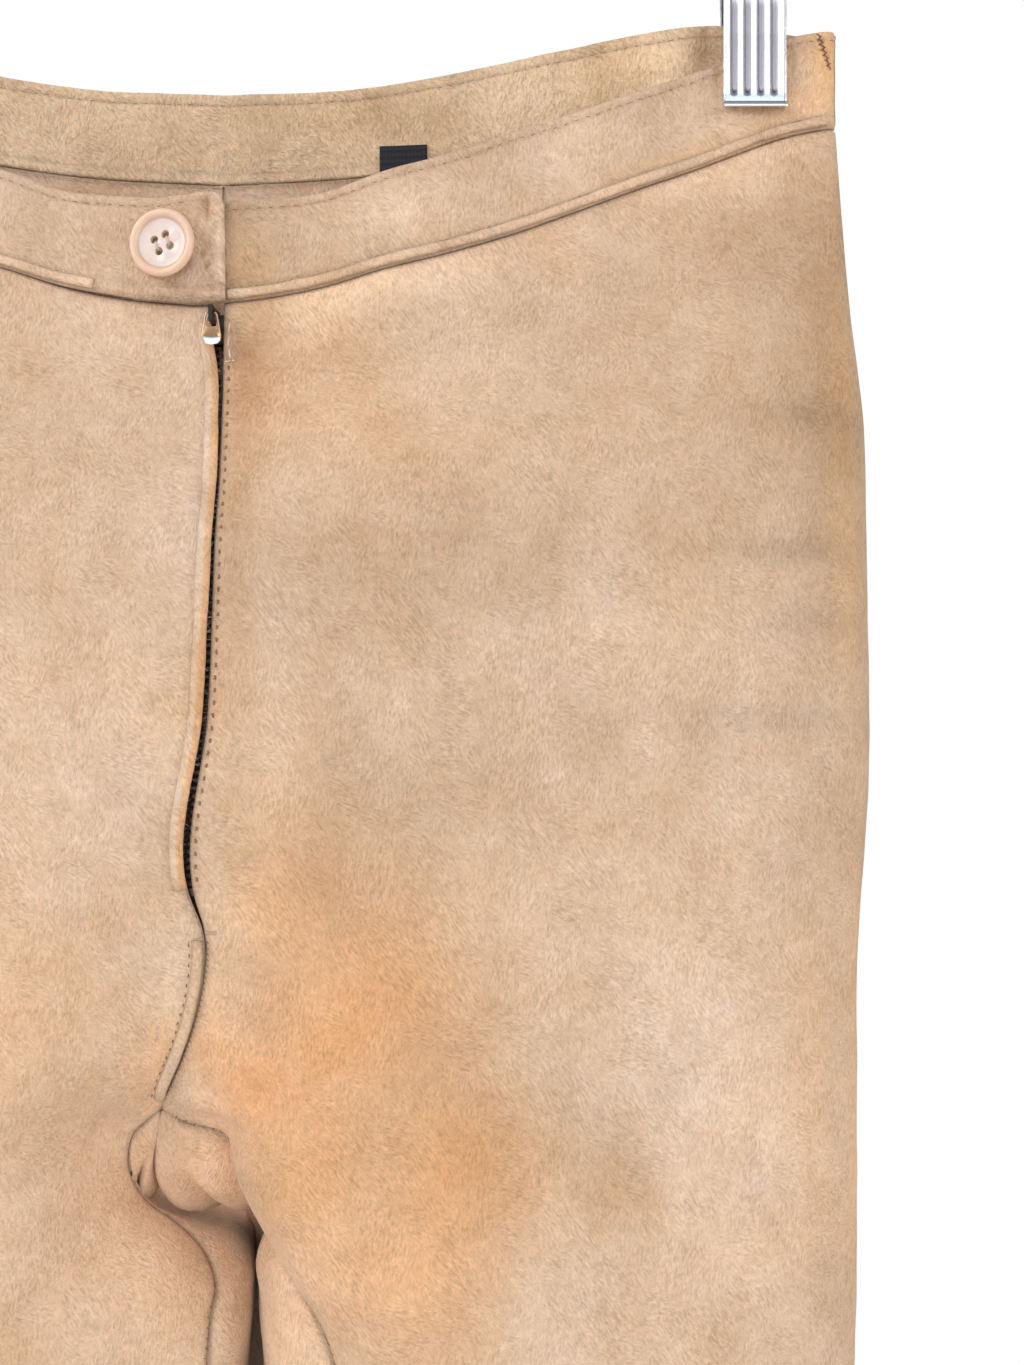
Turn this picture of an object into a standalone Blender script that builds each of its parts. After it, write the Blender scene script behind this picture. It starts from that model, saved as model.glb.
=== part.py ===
"""Suede trousers hung by the waist from a clip hanger. Metres, +Z up, front towards -Y, wearer's left at +X."""

import math

import bpy
import numpy as np
from mathutils import Vector

MM = 0.001
GAP = 0.3 * MM
SEAM_INSET = 0.2 * MM
FORK_INSET = 0.7 * MM
FORK_ROWS = (-442, -488)
SUEDE = 1.3 * MM
FRONT_BAND = 2.4 * MM
HEM_Z = -1200

# Heights of the seam under the waistband and of its top edge, in mm, by distance from the centre
FRONT_WAIST = {
    "x": (0, 20, 40, 60, 80, 100, 120, 141, 160, 168, 189, 206),
    "seam": (-194, -192, -188, -181.5, -176, -169.5, -161.5, -152.5, -144.8, -141.5, -134, -130.5),
    "top": (-162.5, -161.5, -159, -151.5, -145.5, -138, -130.5, -121.8, -114, -111, -102.5, -99.5),
    "depth": (24, 23.6, 22.6, 21.2, 19.4, 17, 13.8, 9.4, 5.4, 4.5, 4.4, 4.4),
}
BACK_WAIST = {
    "x": (0, 50, 82, 116, 144, 160, 168, 189, 206),
    "seam": (-140, -137.5, -134, -129.5, -126.5, -126.2, -126.5, -128.5, -130.5),
    "top": (-108.8, -107, -103.2, -98.5, -95.5, -94.8, -95, -97, -99.5),
    "depth": (27, 25, 21.5, 15.5, 9, 5.4, 4.5, 4.4, 4.4),
}
# Half width and depths of the body and legs, in mm, by height
FORM = {
    "z": (-1200, -1000, -800, -640, -520, -450, -400, -350, -270, -230, -190, -130),
    "outer": (201, 200, 203, 209, 212.6, 212.8, 213.5, 217, 216.5, 215.5, 211, 206.5),
    "front": (30, 31, 34, 40, 44, 44, 43, 43, 41, 38, 33, 24),
    "back": (30, 32, 38, 48, 54, 56, 58, 58, 53, 46, 38, 27),
}
# Edges of the two fronts along the fly opening, in mm, by height
FLY = {
    "z": (-390, -384, -378, -372, -357, -325, -304, -275, -232, -214, -205, -194),
    "right": (7.3, 7.4, 3.6, 2.9, 3.8, 6.6, 9.0, 9.6, 8.9, 7.8, 6.2, 5.8),
    "left": (7.3, 7.7, 4.6, 4.4, 5.5, 8.2, 10.2, 10.6, 10.1, 9.9, 9.8, 9.8),
}
SIDE_ROUND = 6
BODY_POWER = 2.4
BODY_BLEND = 90
FLAT_Z = -262

# Rows of each panel, in mm: height at the side seam, then the point on the inner seam, the way the
# cloth leaves it, where it joins the broad face, how firmly it joins, and how far it dips between
ROW = ("row", "x", "y", "z", "out_x", "out_y", "out_z", "join", "pull", "dip")
LEFT_FRONT = (
    (-262, 10.4, -40.6, -262, 35, 0, 0, 48, 40, 0),
    (-320, 8.7, -42.6, -320, 35, 0, 0, 48, 40, 0),
    (-376, 4.5, -43, -376, 35, 0, 0, 48, 40, 0),
    (-388, 7.6, -42, -388, 35, 0, 0, 48, 42, 0),
    (-400, 6.8, -39.5, -400, 36, 0, 0, 48, 42, 0),
    (-412, 3.5, -36, -414, 38, 0, 0, 48, 44, 0),
    (-424, -1.5, -31, -427, 42, 2, 0, 48, 48, 0),
    (-434, -6.5, -26, -437.5, 48, 3, 4, 48, 56, 0),
    (-442, -10.5, -21, -447, 55, 0, 14, 48, 76, 0),
    (-448, -3.5, -20.6, -451, 42, 3, 26, 45, 90, 0),
    (-454, 3.5, -20, -453, 44, 3, 20, 43, 100, 0),
    (-461, 9.5, -18.5, -456.5, 40, -3, 4, 43, 108, 0),
    (-470, 15.5, -16.5, -466, 22, -22, 0, 46, 84, 0),
    (-480, 21, -17, -480, 3, -36, 0, 50, 64, 0),
    (-488, 26, -22, -488, 3, -32, 0, 53, 50, 0),
    (-494, 30, -29, -494, 8, -26, 0, 56, 44, 0),
    (-511, 42, -38, -511, 22, -10, 0, 66, 36, 0),
    (-535, 50, -40.5, -535, 25, -3, 0, 74, 34, 0),
    (-575, 50, -38, -575, 22, -5, 0, 74, 36, 0),
    (-640, 38, -30, -640, 10, -18, 0, 66, 44, 0),
    (-720, 18, -14, -720, 0, -34, 0, 52, 52, 0),
    (-800, 9, 0, -800, 0, -60, 0, 50, 70, 0),
    (-1000, 7, 0, -1000, 0, -56, 0, 48, 70, 0),
    (-1200, 8, 0, -1200, 0, -54, 0, 48, 70, 0),
)
LEFT_BACK = (
    (-262, 0, 52.2, -262, 40, 0, 0, 50, 45, 0),
    (-320, -1, 57, -328, 42, 0, 0, 50, 45, 1),
    (-376, -4, 57.5, -394, 46, 0, -3, 50, 45, 3),
    (-388, -6, 54, -416, 46, -2, -6, 50, 45, 5),
    (-400, -9, 46, -438, 45, -5, -12, 50, 45, 8),
    (-408, -11.5, 33, -457, 42, -8, -20, 50, 46, 10),
    (-417, -14, 15, -472, 42, -4, -24, 48, 48, 12),
    (-426, -15.5, -2, -476, 44, 0, -28, 48, 50, 16),
    (-434, -14.5, -14, -466, 44, 6, -34, 48, 52, 20),
    (-442, -10.5, -21, -447, 32, 8, -50, 48, 54, 24),
    (-448, -3.5, -20.6, -451, 16, 10, -60, 48, 56, 22),
    (-454, 3.5, -20, -453, 3, 10, -66, 48, 58, 20),
    (-461, 9.5, -18.5, -456.5, 0, 12, -62, 48, 58, 16),
    (-470, 15.5, -16.5, -466, -4, 26, -44, 48, 60, 9),
    (-480, 21, -17, -480, -16, 44, -14, 38, 50, 3),
    (-488, 26, -22, -488, -34, 40, 0, 32, 50, 0),
    (-494, 30, -29, -494, -44, 28, 0, 26, 52, 0),
    (-511, 42, -38, -511, -58, 26, 0, 17, 52, 0),
    (-535, 50, -40.5, -535, -80, 24, 0, 10, 46, 0),
    (-575, 50, -38, -575, -88, 20, 0, 7, 44, 0),
    (-640, 38, -30, -640, -70, 20, 0, 13, 50, 0),
    (-720, 18, -14, -720, -50, 44, 0, 28, 60, 0),
    (-800, 9, 0, -800, 0, 66, 0, 44, 70, 0),
    (-1000, 7, 0, -1000, 0, 58, 0, 48, 70, 0),
    (-1200, 8, 0, -1200, 0, 54, 0, 48, 70, 0),
)
RIGHT_FRONT = (
    (-262, -9.4, -40.6, -262, 35, 0, 0, 44, 40, 0),
    (-320, -7, -42.6, -320, 35, 0, 0, 44, 40, 0),
    (-376, -3, -43, -376, 35, 0, 0, 44, 40, 0),
    (-388, -7.2, -42, -388, 35, 0, 0, 44, 42, 0),
    (-400, -6.8, -39.5, -400, 36, 1, 0, 46, 42, 0),
    (-412, -3.5, -36, -414, 38, 2, 0, 48, 44, 0),
    (-424, 1.5, -31, -427, 40, 3, 0, 50, 48, 0),
    (-434, 6.5, -26, -437.5, 42, 3, 2, 54, 50, 0),
    (-442, 10.5, -21, -447, 44, 0, 8, 58, 54, 0),
    (-448, 15.5, -19.6, -451, 38, 0, 12, 60, 56, 0),
    (-454, 19.5, -18.6, -455, 28, -5, 10, 60, 56, 0),
    (-461, 21.5, -17, -461, 18, -12, 4, 58, 56, 0),
    (-470, 21.5, -13, -470, 6, -22, 0, 56, 54, 0),
    (-480, 17, -9, -480, -4, -28, 0, 54, 54, 0),
    (-488, 8, -6.5, -488, -8, -28, 0, 52, 52, 0),
    (-494, 0.5, -9, -494, -8, -26, 0, 50, 48, 0),
    (-502, -6, -17, -502, 2, -20, 0, 48, 44, 0),
    (-511, -5.5, -21.5, -511, 12, -18, 0, 46, 42, 0),
    (-535, -4, -22, -535, 10, -22, 0, 46, 44, 0),
    (-575, -2, -18, -575, 4, -28, 0, 46, 50, 0),
    (-640, 1, -10, -640, 0, -40, 0, 48, 60, 0),
    (-720, 5, -4, -720, 0, -52, 0, 50, 66, 0),
    (-800, 7, 0, -800, 0, -60, 0, 50, 70, 0),
    (-1000, 7, 0, -1000, 0, -56, 0, 48, 70, 0),
    (-1200, 8, 0, -1200, 0, -54, 0, 48, 70, 0),
)
RIGHT_BACK = (
    (-262, 0, 52.2, -262, 40, 0, 0, 50, 45, 0),
    (-320, 1, 57, -328, 42, 0, 0, 50, 45, 1),
    (-376, 4, 57.5, -394, 46, 0, -3, 54, 45, 3),
    (-388, 6, 54, -416, 46, -2, -6, 56, 45, 5),
    (-400, 9, 46, -438, 45, -5, -12, 58, 45, 8),
    (-408, 11.5, 33, -457, 38, -8, -20, 60, 46, 10),
    (-417, 14, 15, -472, 36, -4, -26, 60, 48, 12),
    (-426, 15.5, -2, -476, 36, 0, -30, 60, 50, 16),
    (-434, 14.5, -14, -466, 36, 8, -34, 60, 52, 20),
    (-442, 10.5, -21, -447, 36, 10, -46, 60, 54, 24),
    (-448, 15.5, -19.6, -451, 20, 14, -54, 58, 56, 22),
    (-454, 19.5, -18.6, -455, 2, 14, -58, 58, 58, 18),
    (-461, 21.5, -17, -461, -10, 18, -48, 54, 58, 12),
    (-470, 21.5, -13, -470, -22, 26, -32, 48, 56, 8),
    (-480, 17, -9, -480, -30, 30, -20, 40, 50, 4),
    (-488, 8, -6.5, -488, -56, 30, -6, 26, 44, 1),
    (-494, 0.5, -9, -494, -80, 28, 0, 14, 40, 0),
    (-502, -6, -17, -502, -75, 16, 0, 10, 30, 0),
    (-511, -5.5, -21.5, -511, -85, 6, 0, 10, 20, 0),
    (-535, -4, -22, -535, -80, 10, 0, 12, 24, 0),
    (-575, -2, -18, -575, -66, 20, 0, 16, 36, 0),
    (-640, 1, -10, -640, -36, 44, 0, 26, 50, 0),
    (-720, 5, -4, -720, -10, 60, 0, 40, 60, 0),
    (-800, 7, 0, -800, 0, 66, 0, 50, 70, 0),
    (-1000, 7, 0, -1000, 0, 58, 0, 48, 70, 0),
    (-1200, 8, 0, -1200, 0, 54, 0, 48, 70, 0),
)
PANELS = {
    "front_left": (LEFT_FRONT, "front", "left"),
    "back_left": (LEFT_BACK, "back", "left"),
    "front_right": (RIGHT_FRONT, "front", "right"),
    "back_right": (RIGHT_BACK, "back", "right"),
}
ROW_HEIGHTS = (
    -262, -290, -320, -350, -372, -380, -388, -396, -404, -412, -420, -427, -434, -442, -448, -454,
    -461, -470, -480, -488, -494, -502, -511, -523, -545, -580, -630, -690, -770, -880, -1040, -1200,
)
TOP_STEPS = (0, 0.16, 0.36, 0.58, 0.8)
INNER_STEPS = 6
OUTER_STEPS = 7
ROUND_STEPS = 3

BAND_STEPS = 3
BAND_LOW = 0.3
SIDE_SEAM_X = 206.4
TAB_END = 10.2
UNDERLAP_END = -19
TAB_LIFT = 3.0
TAB_FADE = (-62, -24)

WELT_WIDTH = 3.2
WELT_HEIGHT = 1.2
WELT_BASE = 0.35
WELTS = (("welt_front_left", "front_left", 11), ("welt_front_right", "front_right", 30), ("welt_back", "back_left", 0))
FOLD_WIDTH = 4.4
FOLD_HEIGHT = 1.3
FOLD_START_SHARE = 0.45
CROTCH_WELT_WIDTH = 3.6
CROTCH_WELT_HEIGHT = 1.3

ZIP_TOP = -196.5
SLIDER_FOOT = -206.5
ZIP_FOOT = -377
TAPE_WIDTH = 22
TAPE_BACK = 3.7
CHAIN_WIDTH = 4.6
CHAIN_BACK = 2.0
CHAIN_DEEP = 1.4

PULL_PIVOT = (7.6, -31.4, -198.8)
PULL_LENGTH = 9.8

BUTTON_AT = (-7.6, -176.7)
BUTTON_RADIUS = 10.6
BUTTON_TURN = 10

CLIP_X = 179.2
CLIP_WIDTH = 20.6
CLIP_SHEET = 0.8
CLIP_RIB = 0.45
CLIP_GAP = 0.35
CLIP_FOOT_Z = {"front": -124.5, "back": -120}
BAR_Z = -78
BAR_RADIUS = 2.5
BAR_HALF = 205
HOOK_INSIDE = 20
WIRE_RADIUS = 2


def clear_scene():
    for obj in list(bpy.data.objects):
        bpy.data.objects.remove(obj, do_unlink=True)


def material(name, colour, roughness, metallic=0.0):
    made = bpy.data.materials.new(name)
    made.use_nodes = True
    shader = made.node_tree.nodes["Principled BSDF"]
    shader.inputs["Base Color"].default_value = (*colour, 1)
    shader.inputs["Roughness"].default_value = roughness
    shader.inputs["Metallic"].default_value = metallic
    return made


def smooth_line(xs, ys, at):
    """A smooth curve through the points (xs, ys), read at the values given."""
    xs = np.asarray(xs, float)
    ys = np.asarray(ys, float)
    slopes = np.gradient(ys, xs, axis=0)
    at = np.clip(at, xs[0], xs[-1])
    left = np.clip(np.searchsorted(xs, at, side="right") - 1, 0, len(xs) - 2)
    width = xs[left + 1] - xs[left]
    t = (at - xs[left]) / width
    if ys.ndim > 1:
        t = t[..., None]
        width = width[..., None]
    h00 = 2 * t**3 - 3 * t**2 + 1
    h10 = t**3 - 2 * t**2 + t
    h01 = 3 * t**2 - 2 * t**3
    h11 = t**3 - t**2
    return h00 * ys[left] + h10 * width * slopes[left] + h01 * ys[left + 1] + h11 * width * slopes[left + 1]


def read(table, key, column, at):
    return smooth_line(table[key], table[column], np.asarray(at, float))


def ramp(value):
    value = np.clip(value, 0, 1)
    return value * value * (3 - 2 * value)


def waist_of(face):
    return FRONT_WAIST if face == "front" else BACK_WAIST


def face_depth(face, x, z):
    """How far the cloth stands from the side seams' plane, at a distance x from the centre and height z."""
    waist = waist_of(face)
    outer = read(FORM, "z", "outer", z)
    x = np.clip(np.abs(x), 0, outer)
    below = read(waist, "x", "seam", np.minimum(x, 206)) - z
    body = read(FORM, "z", face, z) * (1 - (x / outer) ** BODY_POWER) ** 0.5
    near_side = np.clip((x - (outer - SIDE_ROUND)) / SIDE_ROUND, 0, 1)
    edge = np.sqrt(1 - near_side**2)
    band = read(waist, "x", "depth", np.minimum(x, 206)) * edge
    body = np.maximum(body, 0) * (1 - 0.12 * (1 - edge)) + 2.2 * edge * (x / outer) ** 8
    share = ramp(below / BODY_BLEND)
    return band * (1 - share) + body * share


def row_shape(rows, face, heights):
    """Points of each row from the inner seam to the side seam, in mm, at the heights given."""
    table = np.array(rows, float)[::-1]
    keys = smooth_line(table[:, 0], table, np.asarray(heights, float))
    sign = -1 if face == "front" else 1
    made = []
    for key in keys:
        row, x, y, z, out_x, out_y, out_z, join, pull, dip = key
        seam = np.array((x, y, z))
        leave = np.array((out_x, out_y, out_z))
        meet = np.array((join, sign * float(face_depth(face, join, row)), row))
        arrive = np.array((pull, 0, 0))
        t = np.linspace(0, 1, INNER_STEPS + 1)[:, None]
        inner = (
            (2 * t**3 - 3 * t**2 + 1) * seam
            + (t**3 - 2 * t**2 + t) * leave
            + (3 * t**2 - 2 * t**3) * meet
            + (t**3 - t**2) * arrive
        )
        inner[:, 2] -= dip * 4 * t[:, 0] * (1 - t[:, 0])
        outer_x = float(read(FORM, "z", "outer", row))
        straight = join + (outer_x - SIDE_ROUND - join) * np.linspace(0, 1, OUTER_STEPS + 1)[1:]
        turn = np.radians(np.linspace(0, 90, ROUND_STEPS + 1)[1:])
        xs = np.concatenate([straight, outer_x - SIDE_ROUND + SIDE_ROUND * np.sin(turn)])
        ys = sign * face_depth(face, xs, np.full(len(xs), row))
        made.append(np.vstack([inner, np.column_stack([xs, ys, np.full(len(xs), row)])]))
    return np.array(made)


def waist_rows(rows, face, side, steps):
    """Rows between the waist seam (step 0) and the first level row (step 1); a negative step is on the band."""
    flat = row_shape(rows, face, [FLAT_Z])[0]
    share = (flat[:, 0] - flat[0, 0]) / (flat[-1, 0] - flat[0, 0])
    sign = -1 if face == "front" else 1
    waist = waist_of(face)
    made = []
    for step in steps:
        x = np.minimum(flat[:, 0], 206)
        for _ in range(4):
            seam_z = read(waist, "x", "seam", np.clip(x, 0, 206))
            top_z = read(waist, "x", "top", np.clip(x, 0, 206))
            z = seam_z + (FLAT_Z - seam_z) * step if step >= 0 else seam_z + (seam_z - top_z) * step
            edge_x = 0.0
            if face == "front":
                edge_x = float(read(FLY, "z", side, z[0])) * (1 if side == "left" else -1)
            outer = read(FORM, "z", "outer", np.minimum(z, -130))
            x = edge_x + share * (outer - edge_x)
        made.append(np.column_stack([x, sign * face_depth(face, x, z), z]))
    return np.array(made)


def half_normals(front, back, closed_from):
    """Outward normals of the half garment's rows, run round from the front's inner seam to the back's."""
    loop = np.concatenate([front, back[:, -2::-1]], axis=1)
    along = np.gradient(loop, axis=1)
    down = np.gradient(loop, axis=0)
    wrap = (loop[closed_from:, 1] - loop[closed_from:, -2]) / 2
    along[closed_from:, 0] = wrap
    along[closed_from:, -1] = wrap
    normals = np.cross(down, along)
    normals /= np.linalg.norm(normals, axis=2, keepdims=True)
    columns = front.shape[1]
    return normals[:, :columns], normals[:, columns - 1 :][:, ::-1]


def toward(points, others):
    """Unit steps from points to others."""
    step = others - points
    return step / np.linalg.norm(step, axis=1, keepdims=True)


def inset_edges(grid, inner=SEAM_INSET, outer=SEAM_INSET, top=0.0):
    """The grid with its edges drawn in. Inner may hold one amount for each row."""
    made = grid.copy()
    made[:, 0] += np.reshape(inner, (-1, 1)) * toward(grid[:, 0], grid[:, 1])
    made[:, -1] += outer * toward(grid[:, -1], grid[:, -2])
    made[0] += top * toward(made[0], made[1])
    return made


def wall(name, outside, normals, thickness, finish, mirrored=False):
    """A closed wall: the outside grid, in metres, and the same grid moved in by the thickness."""
    inside = outside - normals * thickness
    rows, columns = outside.shape[:2]
    points = np.concatenate([outside.reshape(-1, 3), inside.reshape(-1, 3)])
    if mirrored:
        points = points * (-1, 1, 1)

    def index(layer, row, column):
        return layer * rows * columns + row * columns + column

    faces = []
    for row in range(rows - 1):
        for column in range(columns - 1):
            square = [(row, column), (row, column + 1), (row + 1, column + 1), (row + 1, column)]
            faces.append([index(0, *corner) for corner in square])
            faces.append([index(1, *corner) for corner in square[::-1]])
    border = [(0, c) for c in range(columns - 1)]
    border += [(r, columns - 1) for r in range(rows - 1)]
    border += [(rows - 1, c) for c in range(columns - 1, 0, -1)]
    border += [(r, 0) for r in range(rows - 1, 0, -1)]
    for here, after in zip(border, border[1:] + border[:1]):
        faces.append([index(0, *after), index(0, *here), index(1, *here), index(1, *after)])
    return solid(name, points, faces, finish)


def solid(name, points, faces, finish, smooth=True):
    """An object from points and faces, turned so that its faces point out."""
    points = np.asarray(points, float)
    volume = 0.0
    for face in faces:
        corners = points[list(face)]
        for second in range(1, len(face) - 1):
            volume += np.dot(corners[0], np.cross(corners[second], corners[second + 1]))
    if volume < 0:
        faces = [face[::-1] for face in faces]
    mesh = bpy.data.meshes.new(name)
    mesh.from_pydata([tuple(p) for p in points], [], [list(map(int, f)) for f in faces])
    mesh.validate()
    if smooth:
        mesh.shade_smooth()
        mesh.set_sharp_from_angle(angle=math.radians(40))
    mesh.materials.append(finish)
    obj = bpy.data.objects.new(name, mesh)
    bpy.context.scene.collection.objects.link(obj)
    return obj


def sweep(name, path, ups, profile, finish):
    """A solid strip along a path: the profile's points are (across, up), in mm, and ups are the normals."""
    path = np.asarray(path, float)
    ahead = np.gradient(path, axis=0)
    ahead /= np.linalg.norm(ahead, axis=1, keepdims=True)
    across = np.cross(ups, ahead)
    across /= np.linalg.norm(across, axis=1, keepdims=True)
    up = np.cross(ahead, across)
    rings = [path[:, None] + MM * (a * across + u * up)[:, None] for a, u in profile]
    rings = np.concatenate(rings, axis=1)
    count = len(profile)
    faces = []
    for i in range(len(path) - 1):
        for j in range(count):
            k = (j + 1) % count
            faces.append([i * count + j, i * count + k, (i + 1) * count + k, (i + 1) * count + j])
    faces.append([j for j in range(count)][::-1])
    faces.append([(len(path) - 1) * count + j for j in range(count)])
    return solid(name, rings.reshape(-1, 3), faces, finish)


def half_round(width, height, base):
    """A low rounded profile that lies on a surface, its flat side at the base height."""
    angles = np.radians((0, 45, 90, 135, 180))
    return [(width / 2 * math.cos(a), base + height * (0.25 + 0.75 * math.sin(a))) for a in angles] + [
        (-width / 2 * 0.8, base),
        (width / 2 * 0.8, base),
    ]


def rounded_box(name, low, high, finish, edge=0.0):
    """A box between two corners, in mm, with bevelled edges."""
    low = np.array(low) * MM
    high = np.array(high) * MM
    corners = [(x, y, z) for x in (0, 1) for y in (0, 1) for z in (0, 1)]
    points = [low + (high - low) * corner for corner in corners]
    faces = [(0, 1, 3, 2), (4, 6, 7, 5), (0, 4, 5, 1), (2, 3, 7, 6), (0, 2, 6, 4), (1, 5, 7, 3)]
    obj = solid(name, points, faces, finish, smooth=False)
    if edge:
        bevel = obj.modifiers.new("edges", "BEVEL")
        bevel.width = edge * MM
        bevel.segments = 2
    return obj


def row_number(height):
    """A panel's row that leaves the side seam at this height."""
    return len(TOP_STEPS) + ROW_HEIGHTS.index(height)


def share_seam(normals, face, first, last):
    """Gives the two halves one normal along their shared centre seam, so that the walls meet and don't cross."""
    left = normals[f"{face}_left"]
    right = normals[f"{face}_right"]
    rows = slice(first, last + 1)
    shared = left[rows, 0] + right[rows, 0] * (-1, 1, 1)
    shared /= np.linalg.norm(shared, axis=1, keepdims=True)
    left[rows, 0] = shared
    right[rows, 0] = shared * (-1, 1, 1)


def build_panels(suede):
    """The four leg and body panels. Returns the grids, in metres, that other pieces lie on."""
    grids = {}
    normals = {}
    fork = row_number(FORK_ROWS[0])
    for side in ("left", "right"):
        for name, (rows, face, its_side) in PANELS.items():
            if its_side == side:
                top = waist_rows(rows, face, side, TOP_STEPS)
                grids[name] = np.concatenate([top, row_shape(rows, face, ROW_HEIGHTS)]) * MM
        front, back = half_normals(grids[f"front_{side}"], grids[f"back_{side}"], fork)
        normals[f"front_{side}"] = front
        normals[f"back_{side}"] = back
    share_seam(normals, "front", row_number(-388), fork)
    share_seam(normals, "back", 0, fork)
    inner = np.full(len(TOP_STEPS) + len(ROW_HEIGHTS), SEAM_INSET)
    inner[fork : row_number(FORK_ROWS[1])] = FORK_INSET
    for name, (_, _, side) in PANELS.items():
        grid = inset_edges(grids[name], inner, top=SEAM_INSET)
        wall(name, grid, normals[name], SUEDE, suede, mirrored=side == "right")
    return {name: (grids[name], normals[name]) for name in PANELS}


def band_grid(face, xs, lift=0.0, low=0.0, side_ends=()):
    """Rows of a waistband from its seam up to its top edge, in metres, with outward normals.

    The columns in side_ends lie on a side seam, where the band faces straight out to the side.
    """
    waist = waist_of(face)
    sign = -1 if face == "front" else 1
    xs = np.asarray(xs, float)
    clipped = np.clip(np.abs(xs), 0, 206)
    seam_z = read(waist, "x", "seam", clipped) + low
    top_z = read(waist, "x", "top", clipped)
    rows = []
    for share in np.linspace(0, 1, BAND_STEPS + 1):
        z = seam_z + (top_z - seam_z) * share
        rows.append(np.column_stack([xs, sign * face_depth(face, xs, z), z]))
    grid = np.array(rows) * MM
    along = np.gradient(grid, axis=1)
    upward = np.gradient(grid, axis=0)
    normals = np.cross(along, upward)
    normals *= np.where(normals[..., 1:2] * sign > 0, 1, -1)
    normals /= np.linalg.norm(normals, axis=2, keepdims=True)
    for column in side_ends:
        normals[:, column] = (math.copysign(1, xs[column]), 0, 0)
    lift = np.broadcast_to(lift, xs.shape).reshape(1, -1, 1)
    return grid + normals * lift * MM, normals


def band_columns(name, start):
    """Distances from the centre for a waistband's columns: those of the panel under it, and out to start."""
    rows, face, side = PANELS[name]
    xs = waist_rows(rows, face, side, [0])[0][:, 0]
    if start is not None:
        xs = np.concatenate([np.linspace(start, xs[0], 3)[:-1], xs])
    return xs


def tab_lift(xs):
    """How far the right band's end stands over the left band, by distance to the wearer's left."""
    return TAB_LIFT * ramp((xs - TAB_FADE[0]) / (TAB_FADE[1] - TAB_FADE[0]))


def whole_back(half):
    """The columns of one back half carried over to the other side of the centre."""
    return np.concatenate([-half[:0:-1], half])


def build_bands(suede, rough):
    """Front bands left and right, with the right one's end over the left's, the back bands and their facing."""
    xs = band_columns("front_left", UNDERLAP_END)
    grid, normals = band_grid("front", xs, low=BAND_LOW, side_ends=(-1,))
    wall("band_front_left", inset_edges(grid, inner=0.0), normals, FRONT_BAND, suede)
    xs = band_columns("front_right", -TAB_END)
    grid, normals = band_grid("front", xs, lift=tab_lift(-xs), low=BAND_LOW, side_ends=(-1,))
    wall("band_front_right", inset_edges(grid, inner=0.0), normals, FRONT_BAND, suede, mirrored=True)
    xs = band_columns("back_left", None)
    grid, normals = band_grid("back", xs, low=BAND_LOW, side_ends=(-1,))
    normals[:, 0] = (0, 1, 0)
    for side in ("left", "right"):
        wall(f"band_back_{side}", inset_edges(grid), normals, SUEDE, suede, mirrored=side == "right")
    facing_xs = whole_back(xs[xs < SIDE_SEAM_X - SIDE_ROUND - 1])
    grid, normals = band_grid("back", facing_xs, lift=-(SUEDE / MM + BAND_LOW), low=-BAND_LOW)
    grid[-1, :, 2] -= BAND_LOW * MM
    wall("band_back_facing", grid, normals, SUEDE, rough)


def build_welts(suede):
    """The rolled welts along the foot of the waistband."""
    profile = half_round(WELT_WIDTH, WELT_HEIGHT, WELT_BASE)
    for name, panel, start in WELTS:
        _, face, side = PANELS[panel]
        xs = band_columns(panel, None)
        xs = xs[(xs > start) & (xs < SIDE_SEAM_X - SIDE_ROUND + 1)]
        xs = np.concatenate([[start], xs, [SIDE_SEAM_X - 3]])
        if face == "back":
            xs = whole_back(xs)
        lift = tab_lift(-xs) if side == "right" else 0.0
        grid, normals = band_grid(face, xs, lift=lift, low=BAND_LOW)
        path = grid[0] + toward(grid[0], grid[1]) * (WELT_WIDTH / 2 + 0.1) * MM
        turn = (-1, 1, 1) if side == "right" else (1, 1, 1)
        sweep(name, path * turn, normals[0] * turn, profile, suede)


def beside_seam(grid, normals, first, last, distance):
    """Points on a panel at a distance in from its inner seam, in mm, for the rows from first to last."""
    points = []
    ups = []
    for row in range(first, last + 1):
        lengths = np.linalg.norm(np.diff(grid[row], axis=0), axis=1)
        reach = np.concatenate([[0], np.cumsum(lengths)])
        at = distance * MM
        points.append([np.interp(at, reach, grid[row, :, axis]) for axis in range(3)])
        ups.append([np.interp(at, reach, normals[row, :, axis]) for axis in range(3)])
    ups = np.array(ups)
    return np.array(points), ups / np.linalg.norm(ups, axis=1, keepdims=True)


def build_fly_fold(grids, suede):
    """The turned fold along the right front's edge of the opening."""
    grid, normals = grids["front_right"]
    path, ups = beside_seam(grid, normals, 0, row_number(-372), FOLD_WIDTH / 2 + 0.2)
    path[0] += (path[1] - path[0]) * FOLD_START_SHARE
    ups[0] = ups[1]
    sweep("fly_fold", path * (-1, 1, 1), ups * (-1, 1, 1), half_round(FOLD_WIDTH, FOLD_HEIGHT, 0.4), suede)


def build_crotch_welt(grids, suede):
    """The raised allowance beside the crotch seam, from the foot of the fly down to the fork."""
    grid, normals = grids["front_right"]
    path, ups = beside_seam(grid, normals, row_number(-388), row_number(-442), CROTCH_WELT_WIDTH / 2 + 0.3)
    profile = half_round(CROTCH_WELT_WIDTH, CROTCH_WELT_HEIGHT, 0.45)
    sweep("crotch_welt", path * (-1, 1, 1), ups * (-1, 1, 1), profile, suede)


def fly_line(heights):
    """Middle of the fly opening and the inside face of the fronts there, in mm."""
    middle = (read(FLY, "z", "right", heights) + read(FLY, "z", "left", heights)) / 2
    inside = -face_depth("front", np.abs(middle), heights) + SUEDE / MM
    return middle, inside


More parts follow.
